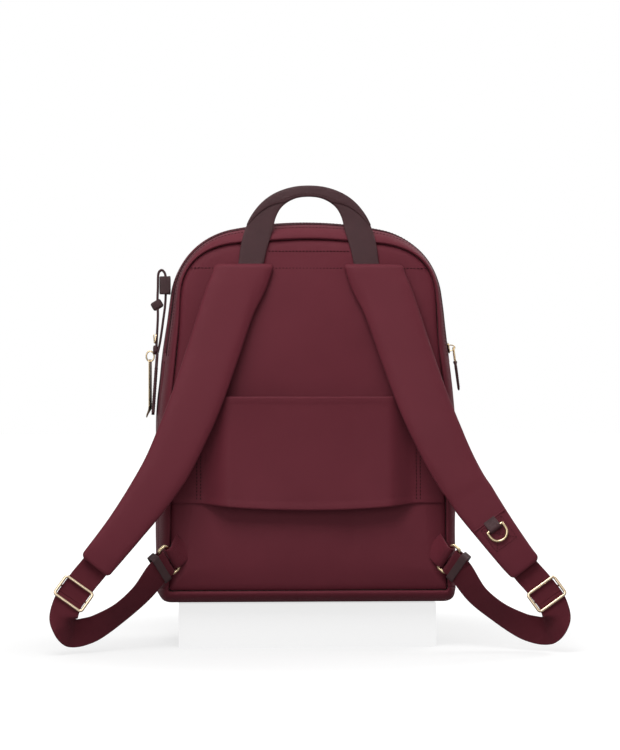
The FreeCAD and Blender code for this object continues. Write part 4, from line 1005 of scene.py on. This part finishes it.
leather = leather_material("dark brown leather", rgb(68, 38, 42), 0.0009)


def tube(name, path, plane_normal, radius, material, body, closed=True, sides=12):
    """Round wire along a flat path."""
    return sweep(name, path, plane_normal, unit_profile(sides, 2) * radius, material, body, closed)


def joint(name):
    """Row of the frame's joint of that name."""
    return next(row for row in frame["joints"] if row["name"] == name)


def zip_slider(label, body, pull_body, place, along, outward, sink, bail_along, ring_length,
               tongue_length, tongue_width):
    """Slider body of two plates and a post, an arched bail, an oval ring and a tongue. sink is
    how far the coil lies below the slider's own seat."""
    along, outward = unit(np.array(along, float)), unit(np.array(outward, float))
    across = np.cross(along, outward)
    axes = (across, outward, along)
    place = np.array(place)
    plate = pillow(label + "_slider_plate", place + outward * (0.0007 - sink),
                   (0.0040, 0.0009, 0.0055), (3.0, 2.6), gold, body, axes, (32, 12))
    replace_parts(plate, label + "_slider")
    post = pillow(label + "_slider_post", place - outward * (0.0012 + sink) + along * 0.0035,
                  (0.0013, 0.0024, 0.0013), (2.4, 4), gold, body, axes, (20, 10))
    under = pillow(label + "_slider_under_plate", place - outward * (0.0031 + sink),
                   (0.0037, 0.0006, 0.0050), (3.0, 2.6), gold, body, axes, (32, 10))
    reach = along if bail_along else across
    arch = np.linspace(0.0, math.pi, 25)[:, None]
    bail_path = (place + outward * (0.0006 - sink) + reach * (0.0031 * np.cos(arch))
                 + outward * ((0.0038 + sink) * np.sin(arch)))
    bail = sweep(label + "_slider_bail", bail_path, np.cross(reach, outward),
                 unit_profile(10, 2.6) * (0.0011, 0.0006), gold, body)
    down = -along if bail_along else np.array([0.0, 0.0, -1.0])
    side = np.cross(down, outward)
    hinge = np.array(joint(label + "_pull_swing")["pos_m"])
    half = 0.0036
    angle = np.linspace(0.0, math.pi, 13)[:, None]
    top = hinge + down * half
    low = hinge + down * (ring_length - half)
    oval = np.concatenate([top + side * half * np.cos(angle) - down * half * np.sin(angle),
                           low - side * half * np.cos(angle) + down * half * np.sin(angle)])
    ring = tube(label + "_pull_ring", resample_loop(oval, 0.0009), outward, 0.00075, gold,
                pull_body)
    start = low + down * (half - 0.0022)
    share = np.linspace(0.0, 1.0, 26)
    width = np.interp(share, [0, 0.06, 0.25, 0.75, 0.95, 1],
                      [0.55, 0.72, 1.0, 0.86, 0.62, 0.35]) * tongue_width / 2
    thick = np.interp(share, [0, 0.04, 0.12, 0.95, 1], [0.0016, 0.0020, 0.0012, 0.0011, 0.0006])
    shape = unit_profile(20, 4) * np.stack([width, thick], -1)[:, None, :]
    tongue = sweep(label + "_pull_tongue", start + down * (share * tongue_length)[:, None], side,
                   shape, leather, pull_body)
    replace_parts(tongue, label + "_pull")
    rows = []
    sewn = np.linspace(0.16, 0.9, 20)
    for sign in (-1, 1):
        row = start + down * (sewn * tongue_length)[:, None]
        narrow = np.interp(sewn, share, width) - 0.0011
        rows.append(row + side * (sign * narrow)[:, None] + outward * 0.0011)
    stitches(label + "_pull_stitches", rows, outward, pull_body, leather_thread, 0.0022, 0.0015,
             0.0004)


leather_thread = cloth("brown thread", rgb(70, 46, 46), pitch=0.0004, roughness=0.6)
slide_way = np.array(joint("main_zip_slide")["axis"])
side_out = np.array([math.cos(lean), 0.0, math.sin(lean)])
pull_hinge = np.array(joint("main_zip_pull_swing")["pos_m"])
hinge_height = 0.0028
zip_slider("main_zip", "main_zip_slider", "main_zip_pull", pull_hinge - side_out * hinge_height,
           slide_way, side_out, 0.0026, True, 0.016, 0.030, 0.009)
pocket_hinge = np.array(joint("pocket_zip_pull_swing")["pos_m"])
zip_slider("pocket_zip", "pocket_zip_slider", "pocket_zip_pull",
           pocket_hinge - np.array([0, hinge_height, 0]), (1, 0, 0), (0, 1, 0), 0.0, False, 0.014,
           0.024, 0.008)


# ------------------------------------------------------------------ top handle
# A band of dark brown leather. Its ends lie flat behind the straps, and its upper edge is folded
# over towards the middle of the handle, where it is stitched through both layers.

def smooth_rows(rows, steps):
    """Catmull-Rom curve through rows of numbers: on each stretch the cubic that passes through
    both ends with slopes of half the distance between their neighbours."""
    rows = np.asarray(rows, float)
    at = np.linspace(0.0, len(rows) - 1, (len(rows) - 1) * steps + 1)
    index = np.minimum(at.astype(int), len(rows) - 2)
    t = (at - index)[:, None]
    near, far = rows[index], rows[index + 1]
    slope_a = (far - rows[np.maximum(index - 1, 0)]) / 2
    slope_b = (rows[np.minimum(index + 2, len(rows) - 1)] - near) / 2
    cubic = 2 * near - 2 * far + slope_a + slope_b
    return ((cubic * t + 3 * far - 3 * near - 2 * slope_a - slope_b) * t + slope_a) * t + near


# x, height above the bag's top, width and thickness, in millimetres, from the end to the middle
handle_half = np.array([(60.2, -54.5, 24.0, 2.2), (57.6, -43.5, 25.0, 2.4),
                        (54.6, -27.0, 26.4, 2.4), (48.5, -8.0, 26.0, 2.6), (42.0, 6.0, 21.0, 3.2),
                        (33.0, 16.5, 16.0, 4.6), (21.0, 23.5, 12.5, 6.0), (8.0, 26.8, 11.0, 6.6)])
handle_rows = np.concatenate([handle_half * (-1, 1, 1, 1), handle_half[::-1]])
handle_rows = smooth_rows(handle_rows, 12) / 1000
handle_y = -half_depth - 0.0018
handle_path = np.stack([handle_rows[:, 0], np.full(len(handle_rows), handle_y),
                        bag_height + handle_rows[:, 1]], -1)
way = unit(np.gradient(handle_path, axis=0))
handle_across = np.stack([-way[:, 2], 0 * way[:, 0], way[:, 0]], -1)
handle_profile = unit_profile(56, 5) * handle_rows[:, None, 2:4] / 2
handle_band = sweep("top_handle_band", handle_path, handle_across, handle_profile, leather)
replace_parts(handle_band, "top_handle")
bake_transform(handle_band)
# The fold covers the band from its outer edge down to a line that runs in from the outer edge,
# 50 mm from the middle, to near the inner edge, 26 mm from it.
fold_edge = np.interp(np.abs(handle_rows[:, 0]), [0.0, 0.014, 0.026, 0.038, 0.0505],
                      [-0.97, -0.97, -0.90, 0.10, 0.97])
covered = np.flatnonzero(np.abs(handle_rows[:, 0]) < 0.0500)
fold_rows = handle_rows[covered]
low = fold_edge[covered] * fold_rows[:, 2] / 2
high = 0.5 * fold_rows[:, 2] + 0.0003
fold_half = ((high - low) / 2)[:, None]
fold_profile = unit_profile(40, 3.2)
fold_profile = np.stack([fold_profile[..., 0] * fold_half + ((high + low) / 2)[:, None],
                         fold_profile[..., 1] * np.minimum(0.0012, 0.4 * fold_half)
                         + fold_rows[:, 3:4] / 2], -1)
fold = sweep("top_handle_fold", handle_path[covered], handle_across[covered], fold_profile, leather)
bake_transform(fold)
middle = np.flatnonzero(np.abs(handle_rows[:, 0]) < 0.030)
stitch_share = np.interp(np.abs(handle_rows[:, 0]), [0.0, 0.020, 0.030], [-0.45, -0.45, -0.20])[:, None]
stitch_row = (handle_path + handle_across * stitch_share * handle_rows[:, 2:3] / 2
              + np.array([0.0, -1.0, 0.0]) * (handle_rows[:, 3:4] / 2 + 0.0011))
stitches("top_handle_stitches", [stitch_row[middle]], (0, -1, 0), "top_handle", leather_thread)


# ------------------------------------------------------------------ shoulder straps
# Each strap is a pad of foam in burgundy nylon, sewn into the back panel below the handle, and
# curved outward to a rounded end that takes the webbing.

# x, y from the back panel's face, z and width of the right strap, in millimetres
strap_line = np.array([
    (64.0, -4.5, 341.0, 58.0), (70.0, -6.0, 322.0, 57.0), (80.6, -9.0, 298.0, 55.0),
    (96.0, -15.5, 252.0, 54.0), (112.0, -23.5, 206.0, 53.0), (126.5, -30.0, 171.0, 51.0),
    (142.2, -35.5, 138.0, 48.0), (161.0, -41.0, 108.5, 44.0), (180.3, -45.5, 82.0, 39.5),
    (196.5, -48.0, 61.0, 36.5), (212.0, -49.5, 41.5, 34.0)])
strap_thickness = 0.009
right_drop = 0.004


def lowered(z, drop):
    """How far a point of the right harness hangs below its mirror image at height z."""
    return np.where(z > 0.040, drop * np.maximum(0.0, (0.140 - z) / 0.100),
                    drop * (z + 0.025) / 0.065)


def strap_path(sign, drop):
    """Fine stations of one strap: centres, directions across it and widths."""
    rows = smooth_rows(strap_line, 16) / 1000
    path = np.stack([sign * rows[:, 0], rows[:, 1] - half_depth,
                     rows[:, 2] - lowered(rows[:, 2], drop)], -1)
    way = unit(np.gradient(path, axis=0))
    across = unit(np.stack([way[:, 2], 0 * way[:, 0], -way[:, 0]], -1))
    level = 1 - ease(np.arange(len(path)), 0, 14)
    across = unit(across * (1 - level)[:, None] + np.array([-1.0, 0.0, 0.0]) * level[:, None])
    return path, across, rows[:, 3]


def end_roll(run, length, radius):
    """0 along the middle of a run, rising as a quarter circle of that radius to 1 at both ends."""
    near = np.clip(np.minimum(run, length - run) / radius, 0.0, 1.0)
    return 1 - np.sqrt(1 - (1 - near) ** 2)


def strap_pad(sign, drop):
    """Pad along the strap's path: a superellipse section, thinner at its edges, whose width and
    thickness fall as quarter circles at both ends."""
    path, across, width = strap_path(sign, drop)
    table = np.concatenate([path, across, width[:, None]], axis=1)
    run = np.concatenate([[0.0], np.cumsum(np.linalg.norm(np.diff(path, axis=0), axis=1))])
    ends = 0.006 * (1 - np.cos(np.linspace(0, math.pi / 2, 12)))
    at = np.concatenate([ends, np.linspace(0.008, run[-1] - 0.008, 110), run[-1] - ends[::-1]])
    table = np.stack([np.interp(at, run, table[:, k]) for k in range(7)], -1)
    fall = end_roll(at, run[-1], 0.005)
    half = table[:, 6] / 2 - 0.005 * fall
    thick = strap_thickness / 2 * (1 - 0.72 * end_roll(at, run[-1], 0.0045))
    thick *= 1 - 0.25 * ease(at, run[-1] - 0.02, run[-1])
    shape = unit_profile(44, 3.0) * np.stack([half, thick], -1)[:, None, :]
    grid = follow(table[:, 0:3], table[:, 3:6], shape)
    # Its top edge is level: near it each point slides along the strap to its station's height.
    way = unit(np.gradient(table[:, 0:3], axis=0))[:, None, :]
    level = (1 - ease(at, 0.004, 0.045))[:, None, None]
    grid -= way * ((grid[..., 2:] - table[:, None, 2:3]) / way[..., 2:]) * level
    return grid


for label, sign, drop in (("left", -1, 0.0), ("right", 1, right_drop)):
    pad = surface("strap_pad_" + label, strap_pad(sign, drop), nylon, "strap_" + label,
                  around=True, ends=True)
    # The padding is left flat where the D-ring's tab is sewn on.
    place = np.array([vertex.co[:] for vertex in pad.data.vertices])
    tab_reach = np.linalg.norm(place - np.array(joint("d_ring_swing")["pos_m"]), axis=1)
    inflate(pad, 0.0012 * ease(tab_reach, 0.040, 0.055) + 0.00001)
    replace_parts(pad, "strap_cover_" + label, "strap_foam_" + label)


# ------------------------------------------------------------------ webbing, sliders and rings
# Nylon webbing 28 mm wide comes from behind each strap's end, passes through a three-bar slider,
# folds at the bottom and runs up to a rectangular ring on a padded tab at the bag's corner.

webbing_cloth = cloth("burgundy webbing", rgb(100, 39, 49), pitch=0.0008, roughness=0.62,
                      bump=0.7, follow_uv=True)
webbing_half = 0.014
webbing_thickness = 0.0015
ring_wire = 0.003
ring_gap = 0.007
route_steps = 8
# x, y from the back panel's face, z and the direction across, in millimetres
webbing_line = np.array([
    (208.5, -42.8, 46.0, 0.81, 0.00, 0.59), (214.5, -43.7, 38.5, 0.81, 0.00, 0.59),
    (222.5, -45.8, 29.0, 0.81, 0.00, 0.59), (232.6, -47.9, 15.7, 0.80, 0.00, 0.60),
    (238.3, -49.5, 6.6, 0.82, 0.00, 0.57), (242.0, -51.1, -5.9, 0.99, -0.05, 0.10),
    (241.0, -49.0, -15.6, 0.78, -0.55, -0.30), (237.5, -43.0, -22.0, 0.45, -0.42, -0.79),
    (232.5, -35.5, -24.3, 0.22, -0.10, -0.97), (224.0, -31.3, -23.5, 0.10, 0.12, -0.98),
    (210.0, -28.0, -18.8, -0.20, 0.43, -0.88), (188.1, -22.0, -5.5, -0.33, 0.68, -0.65),
    (166.5, -18.0, 13.5, -0.44, 0.66, -0.61)])
pale_gold = plain_material("pale gold", rgb(240, 216, 184), 0.16, grain=0.0003, bump=0.04,
                           Metallic=1.0)
keeper_leather = leather_material("cross-hatched leather", rgb(78, 56, 58), 0.0011, 0.55, 0.9,
                                  crossed=True)


def harness_point(point, sign, drop):
    """A point of the right harness, x, y from the back panel's face and z in millimetres, as
    it lies on the side given by sign, in metres."""
    x, y, z = (np.asarray(value) / 1000 for value in point)
    return np.stack([sign * x, y - half_depth, z - lowered(z, drop)], -1)


def folded_round(centre, short, face, reach_out, reach_back, turn):
    """Path along the face side of a bar, half way round it as a circle, and back."""
    angle = np.linspace(math.pi / 2, -math.pi / 2, 9)[:, None]
    return np.concatenate([[centre + short * reach_out + face * turn,
                            centre + short * reach_out * 0.45 + face * turn],
                           centre - short * turn * np.cos(angle) + face * turn * np.sin(angle),
                           [centre + short * reach_back * 0.5 - face * turn,
                            centre + short * reach_back - face * turn]])


def frame_ring(name, centre, long_way, short_way, half_long, half_short, radius, half_wire,
               material, body):
    """Closed frame: a rounded rectangle, with a rounded square wire along it."""
    loop = rounded_rectangle(half_long, half_short, radius, 7)
    path = centre + loop[:, 0:1] * long_way + loop[:, 1:2] * short_way
    return sweep(name, resample_loop(path, 0.0012), np.cross(long_way, short_way),
                 unit_profile(16, 2.8) * half_wire, material, body, closed=True)


for label, sign, drop in (("left", -1, 0.0), ("right", 1, right_drop)):
    strap_body = "strap_" + label
    centre = harness_point((139.5, -13.0, 46.0), sign, 0.0)
    long_way = unit(np.array([sign * 0.43, -0.52, 0.74]))
    short = np.array([sign * -0.70, 0.25, 0.66])
    short = unit(short - long_way * (short @ long_way))
    face = np.cross(short, long_way)
    face = face * (-1 if face[1] > 0 else 1)
    bar_offset = (ring_gap + ring_wire) / 2
    round_wire = ring_wire / 2 * 1.42 + 0.0003
    turn = round_wire + webbing_thickness / 2
    outer_bar = centre - short * bar_offset
    inner_bar = centre + short * bar_offset

    # webbing: stations from the strap's end to the ring, then folded round the ring's outer bar
    places = harness_point(webbing_line[:, :3].T, sign, drop)
    stations = np.concatenate([places, webbing_line[:, 3:] * (sign, 1, 1)], axis=1)
    fold = folded_round(outer_bar, -short, face, 0.012, 0.009, turn)
    fold = np.concatenate([fold, np.broadcast_to(-long_way, fold.shape)], axis=1)
    route = smooth_rows(np.concatenate([stations, fold]), route_steps)
    flat = unit_profile(28, 7) * (webbing_half, webbing_thickness / 2)
    cut = route_steps * 4 - 4
    grid = follow(route[:, :3], route[:, 3:], flat)
    upper = surface("webbing_upper_" + label, grid[:cut + 1], webbing_cloth, strap_body,
                    around=True, ends=True)
    end = route_steps * len(places)
    lower = surface("webbing_lower_" + label, grid[cut:end + 4], webbing_cloth, around=True,
                    ends=True)
    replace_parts(lower, "webbing_" + label)
    bend = surface("webbing_bend_" + label, grid[end:], webbing_cloth, around=True, ends=True)
    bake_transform(bend)
    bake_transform(lower)

    # ring, tab and keeper
    ring = frame_ring("corner_ring_" + label, centre, long_way, short, 0.01625, bar_offset, 0.0028,
                      0.00145, gold, "ring_" + label)
    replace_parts(ring, "ring_" + label)
    tab_turn = round_wire + 0.0010
    root = np.array([sign * 0.124, -half_depth - 0.0007, 0.061])
    bend = folded_round(inner_bar, short, face, 0.005, 0.005, tab_turn)[1:]
    share = np.linspace(0.0, 1.0, 7)[:-1, None]
    tab_path = np.concatenate([root + (bend[0] - root) * share, bend[:-1]])
    root_across = np.array([sign * 0.5, 0.0, 0.86])
    tab_across = np.concatenate([root_across + (long_way - root_across) * share,
                                 np.broadcast_to(long_way, bend[:-1].shape)])
    tab_rows = smooth_rows(np.concatenate([tab_path, tab_across], axis=1), 5)
    plump = 1 + 0.25 * np.sin(np.linspace(0, math.pi, len(tab_rows)))
    plump = np.stack([np.ones_like(plump), plump], -1)[:, None, :]
    tab = sweep("corner_tab_pad_" + label, tab_rows[:, :3], tab_rows[:, 3:],
                unit_profile(28, 4) * (0.0128, 0.0009) * plump, nylon, "bag")
    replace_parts(tab, "corner_tab_" + label)
    keeper_at = outer_bar - short * 0.0080
    loop = rounded_rectangle(webbing_half + 0.0019, turn + webbing_thickness / 2 + 0.0010, 0.0016,
                             6)
    loop = resample_loop(loop, 0.0012)
    keeper_path = keeper_at + loop[:, 0:1] * long_way + loop[:, 1:2] * face
    keeper = sweep("strap_keeper_band_" + label, keeper_path, short,
                   unit_profile(18, 5) * (0.0040, 0.0007), keeper_leather, "bag", closed=True)
    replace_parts(keeper, "strap_keeper_" + label)

    # three-bar slider: the outer bars lie in front of the webbing and the middle one behind it
    at = harness_point((232.6, -47.9, 15.7), sign, drop)
    side = unit(np.array([sign * 0.81, 0.0, 0.58]))
    down = unit(np.array([sign * 0.575, -0.13, -0.81]))
    down = unit(down - side * (down @ side))
    back = np.cross(side, down)
    back = back * (1 if back[1] > 0 else -1)
    slider = frame_ring("strap_slider_frame_" + label, at - back * 0.0029, side, down, 0.0160,
                        0.0105, 0.0026, 0.00148, pale_gold, "slider_" + label)
    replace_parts(slider, "slider_" + label)
    reach = np.array([(-0.016, -0.0029), (-0.016, 0.0014), (-0.0150, 0.0030), (-0.012, 0.0034),
                      (0.012, 0.0034), (0.0150, 0.0030), (0.016, 0.0014), (0.016, -0.0029)])
    bar_path = at + reach[:, 0:1] * side + reach[:, 1:2] * back
    bar = tube("strap_slider_bar_" + label, resample(smooth_rows(bar_path, 6), 0.001), down, 0.0011,
               pale_gold, "slider_" + label, closed=False, sides=14)


# ------------------------------------------------------------------ D-ring on the right strap
# A pale gold D hangs from a square of leather that is folded round its bar and sewn into a seam
# across the strap.

d_joint = joint("d_ring_swing")
d_bar = np.array(d_joint["pos_m"])
d_across = unit(np.array(d_joint["axis"]))
path = strap_path(1, right_drop)[0]
nearest = int(np.argmin(np.abs(path[:, 2] - d_bar[2])))
d_down = unit(path[nearest + 1] - path[nearest - 1])
d_down = unit(d_down - d_across * (d_down @ d_across))
d_out = np.cross(d_down, d_across)
d_out = d_out * (-1 if d_out[1] > 0 else 1)
d_radius = 0.009
bend = np.linspace(0.0, math.pi, 21)[:, None]
d_path = np.concatenate([
    [d_bar - d_across * d_radius, d_bar - d_across * d_radius + d_down * 0.002],
    d_bar + d_down * 0.005 - d_across * d_radius * np.cos(bend) + d_down * d_radius * np.sin(bend),
    [d_bar + d_across * d_radius + d_down * 0.002, d_bar + d_across * d_radius]])
d_ring = tube("d_ring_wire", resample_loop(d_path, 0.0010), d_out, 0.0013, gold, "d_ring", sides=14)
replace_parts(d_ring, "d_ring")
# (way down the strap, height above its face) of the tab's middle, in metres
tab_shape = smooth_rows(np.array([
    (-0.0100, 0.0004), (-0.0070, 0.0010), (-0.0035, 0.0030), (0.0000, 0.0042), (0.0020, 0.0036),
    (0.0027, 0.0021), (0.0020, 0.0006), (-0.0010, 0.0003), (-0.0060, 0.0002)]), 6)
tab_base = d_bar - d_out * 0.0021
tab_path = tab_base + tab_shape[:, 0:1] * d_down + tab_shape[:, 1:2] * d_out
d_tab = sweep("d_ring_tab_leather", tab_path, d_across, unit_profile(20, 5) * (0.0065, 0.0006),
              leather, "strap_right")
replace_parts(d_tab, "d_ring_tab")
seam_at = d_bar - d_out * 0.0019 - d_down * 0.0088
seam = line(seam_at - d_across * 0.0185, seam_at + d_across * 0.0185)
seam_cord = sweep("strap_seam_fold", seam, d_down, unit_profile(12, 2.4) * (0.0008, 0.0004), nylon,
                  "strap_right")
box_rows = []
for corners in (((-1, 0), (1, 0)), ((1, 0), (1, 1)), ((1, 1), (-1, 1)), ((-1, 1), (-1, 0)),
                ((-1, 0), (1, 1)), ((1, 0), (-1, 1))):
    box_rows.append(line(*(seam_at + d_across * 0.0125 * a + d_down * (0.003 + 0.026 * b)
                           for a, b in corners)))
stitches("d_ring_box_stitches", box_rows, d_out, "strap_right", pitch=0.0026, length=0.0018,
         width=0.0004)


# ------------------------------------------------------------------ side loop and luggage tag
# A leather loop stands off the left side. Through it hangs a luggage tag: a narrow strap with a
# knot and a small gold buckle, a stiff leather tag, and a gold plate on a ring.

tag_y = -0.015
loop_low, loop_high = 0.312, 0.330
loop_rise = 0.009
right_half = slice(0, outline_count // 2)


def side_x(z):
    """Half-width of the bag's outline at a height."""
    return np.interp(z, rim_z[right_half], rim_x[right_half])


loop_x = float(side_x(loop_low)) + 0.0003
outer_x = loop_x + loop_rise + 0.0032
loop_profile = smooth_rows(np.array([
    (0.0000, -0.017), (0.0000, -0.0105), (0.0068, -0.0085), (0.0090, -0.0055), (0.0090, 0.0055),
    (0.0068, 0.0085), (0.0000, 0.0105), (0.0000, 0.017)]), 8)
loop_path = np.stack([-(loop_x + 0.0009 + loop_profile[:, 0]), tag_y + loop_profile[:, 1],
                      np.full(len(loop_profile), (loop_low + loop_high) / 2)], -1)
side_loop = sweep("side_loop_leather", loop_path, (0, 0, 1), unit_profile(24, 6) * (0.009, 0.0009),
                  keeper_leather, "front_flap")
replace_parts(side_loop, "side_loop")


def ribbon(name, points, half_wide, half_thick, body, material=None):
    """Strap of leather in the plane y = tag_y through points (x, z)."""
    flat = smooth_rows(np.array(points), 8)
    path = np.stack([-flat[:, 0], np.full(len(flat), tag_y), flat[:, 1]], -1)
    piece = sweep(name, path, (0, 1, 0), unit_profile(20, 5) * (half_wide, half_thick),
                  material or leather, body)
    return piece


inner_x = loop_x + loop_rise * 0.5
outer_strand = ribbon("tag_strap_outer", (
    (inner_x + 0.0003, loop_low - 0.006), (inner_x, loop_low + 0.006), (inner_x + 0.0004, loop_high + 0.001),
    (inner_x + 0.0026, loop_high + 0.0056), (outer_x - 0.0024, loop_high + 0.0062), (outer_x, loop_high + 0.002),
    (outer_x + 0.0004, loop_low + 0.006), (outer_x + 0.0008, loop_low - 0.006), (outer_x + 0.0004, 0.290),
    (outer_x + 0.0012, 0.272), (outer_x + 0.0022, 0.2525)), 0.0045, 0.00125, "luggage_tag")
ribbon("tag_strap_inner", (
    (inner_x + 0.0003, loop_low - 0.006), (inner_x + 0.0010, 0.298), (inner_x + 0.0026, 0.286),
    (outer_x - 0.0032, 0.272), (outer_x - 0.0016, 0.262), (outer_x + 0.0006, 0.2520)),
    0.0045, 0.00125, "luggage_tag")
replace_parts(outer_strand, "tag_strap")
knot = pillow("tag_knot", (-(outer_x + 0.0012), tag_y, 0.3010), (0.0058, 0.0056, 0.0046),
              (5.0, 3.4), keeper_leather, "luggage_tag",
              ((0.85, 0, 0.5), (0, 1, 0), (-0.5, 0, 0.85)), (48, 24))
buckle_centre = np.array([-(outer_x + 0.0014), tag_y, 0.2665])
buckle = frame_ring("tag_buckle_frame", buckle_centre - np.array([0.0012, 0, 0]),
                    np.array([0.0, 1.0, 0.0]), unit(np.array([0.12, 0.0, 1.0])), 0.0056, 0.0042,
                    0.0016, 0.0009, gold, "luggage_tag")
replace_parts(buckle, "tag_buckle")
prong_path = line(buckle_centre + np.array([-0.0026, 0, -0.0045]),
                  buckle_centre + np.array([-0.0034, 0, 0.0045]), 12)
prong = tube("tag_buckle_prong", prong_path, (0, 1, 0), 0.0006, gold, "luggage_tag", closed=False)
tail = pillow("tag_strap_tail", (-(outer_x + 0.0028), tag_y, 0.2550), (0.0026, 0.0042, 0.0048),
              (4, 3), leather, "luggage_tag", counts=(32, 16))

tag_top = np.array([-outer_x - 0.0010, tag_y, 0.2517])
tag_low = np.array([-outer_x - 0.0054, tag_y, 0.1890])
share = np.concatenate([np.linspace(0.0, 0.25, 16), np.linspace(0.27, 0.94, 30),
                        np.linspace(0.95, 1.0, 12)])
tag_path = tag_top + (tag_low - tag_top) * share[:, None]
tag_half = (0.0070 + 0.0110 * ease(share, 0.0, 0.24)) - 0.005 * end_roll(share * 0.063, 0.1260,
                                                                         0.001)
low_end = np.clip((share - 0.94) / 0.06, 0, 1)
tag_half = tag_half - 0.0045 * (1 - np.sqrt(1 - low_end ** 2))
tag_shape = unit_profile(32, 9) * np.stack([tag_half, np.full(len(share), 0.0015)], -1)[:, None, :]
tag = sweep("tag_leather_body", tag_path, (0, 1, 0), tag_shape, leather, "luggage_tag")
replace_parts(tag, "tag_leather")
tag_out = unit(np.cross(tag_low - tag_top, (0, 1, 0)))
for number, (face_sign, sign) in enumerate(((-1, -1), (-1, 1), (1, -1), (1, 1))):
    out = tag_out * face_sign
    edge = tag_half[14:50] - 0.0022
    row = tag_path[14:50] + np.stack([0 * edge, sign * edge, 0 * edge], -1)
    stitches(f"tag_stitches_{number}", [row + out * 0.0015], out, "luggage_tag", leather_thread,
             0.0026, 0.0018, 0.0004)

ring_centre = np.array([-outer_x - 0.0082, tag_y, 0.2486])
angle = np.linspace(0.0, 2 * math.pi, 41)[:-1, None]
ring_path = (ring_centre + np.cos(angle) * np.array([0.0040, 0, 0])
             + np.sin(angle) * np.array([0, 0, 0.0052]))
plate_ring = tube("tag_ring_wire", ring_path, (0, 1, 0), 0.0008, gold, "luggage_tag")
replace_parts(plate_ring, "tag_ring")
plate_z = np.concatenate([np.linspace(0.2455, 0.1955, 24), np.linspace(0.1945, 0.1862, 12)])
plate_half = np.where(plate_z > 0.195, 0.010, 0.010 * (plate_z - 0.1858) / 0.0092)
corner = np.clip((0.2455 - plate_z) / 0.002, 0, 1)
plate_half = plate_half - 0.002 * (1 - np.sqrt(1 - (1 - corner) ** 2))
kick = 0.0036 * ease(-plate_z, -0.197, -0.186)
plate_path = np.stack([np.full(36, ring_centre[0]) - kick, np.full(36, tag_y), plate_z], -1)
plate_shape = unit_profile(28, 8) * np.stack([plate_half, np.full(36, 0.0006)], -1)[:, None, :]
plate_turn = math.radians(7.0)
plate_across = (math.sin(plate_turn), math.cos(plate_turn), 0)
plate = sweep("tag_plate_metal", plate_path, plate_across, plate_shape, gold, "tag_plate")
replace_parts(plate, "tag_plate")


# ------------------------------------------------------------------ stage, light and finish
# A plain white floor below the hanging webbing, a low block that the bag stands on, and soft
# light from above and in front, as in a small studio.

floor_z = -0.045
floor_material, floor_tree, floor_shader = new_material("studio white", 0.95, Base_Color=rgb(150, 150, 150),
                                                        Specular_IOR_Level=0.1, Emission_Color=(1.0, 1.0, 1.0, 1.0))
# To the camera it glows: a little near the bag, where its shadow shows, and fully further away.
from_bag = add_node(floor_tree, "VectorMath", {"operation": "LENGTH"},
                    i0=add_node(floor_tree, "TexCoord").outputs["Object"]).outputs["Value"]
glow = add_node(floor_tree, "MapRange", {"interpolation_type": "SMOOTHSTEP"}, Value=from_bag,
                From_Min=0.22, From_Max=0.55, To_Min=0.72, To_Max=1.0).outputs[0]
seen = add_node(floor_tree, "LightPath").outputs["Is Camera Ray"]
floor_tree.links.new(maths(floor_tree, "MULTIPLY", glow, seen),
                     floor_shader.inputs["Emission Strength"])
floor_points = np.array([[-9.0, -9.0, floor_z], [9.0, -9.0, floor_z], [9.0, 9.0, floor_z],
                         [-9.0, 9.0, floor_z]])
floor = mesh_piece("floor", floor_points, [[0, 1, 2, 3]], floor_material, sharp=True)

block_half = (0.130, 0.054)
block_x = np.array([-1, 1, 1, -1, -1, 1, 1, -1]) * block_half[0]
block_y = np.array([-1, -1, 1, 1, -1, -1, 1, 1]) * block_half[1]
block_z = np.array([floor_z] * 4 + [-0.0008] * 4)
block_faces = [[0, 3, 2, 1], [4, 5, 6, 7], [0, 1, 5, 4], [1, 2, 6, 5], [2, 3, 7, 6], [3, 0, 4, 7]]
block = mesh_piece("block", np.stack([block_x, block_y, block_z], -1), block_faces, floor_material,
                   sharp=True)

world = bpy.data.worlds.new("studio")
bpy.context.scene.world = world
world.use_nodes = True
world_tree = world.node_tree
rays = add_node(world_tree, "LightPath")
ambient_strength = 0.30
reflected = maths(world_tree, "MULTIPLY_ADD", rays.outputs["Is Glossy Ray"], 0.35, ambient_strength)
strength = maths(world_tree, "MULTIPLY_ADD", rays.outputs["Is Camera Ray"], 1.0 - ambient_strength,
                 reflected)
background = world_tree.nodes["Background"]
background.inputs["Color"].default_value = (1.0, 1.0, 1.0, 1.0)
world_tree.links.new(strength, background.inputs["Strength"])


def lamp(name, place, aim, size, power):
    """Square soft light at a place, turned towards a point."""
    data = bpy.data.lights.new(name, "AREA")
    data.shape = "SQUARE"
    data.size = size
    data.energy = power
    light = bpy.data.objects.new(name, data)
    light.location = place
    direction = np.array(aim) - np.array(place)
    flat = math.hypot(direction[0], direction[1])
    light.rotation_euler = (math.atan2(flat, -direction[2]), 0.0,
                            math.atan2(-direction[0], direction[1]))
    bpy.context.scene.collection.objects.link(light)
    return light


lamp("top light", (-0.35, -0.95, 1.45), (0.0, 0.0, 0.25), 0.9, 13.0)
lamp("front light", (-0.6, -2.4, 0.5), (0.0, 0.0, 0.2), 1.2, 8.5)
lamp("upper light", (-0.05, -0.62, 0.80), (0.0, -0.07, 0.34), 0.35, 0.9)
lamp("rim light", (1.1, 0.6, 1.3), (0.0, 0.0, 0.2), 0.9, 9.0)

scene = bpy.context.scene
scene.view_settings.view_transform = "Standard"
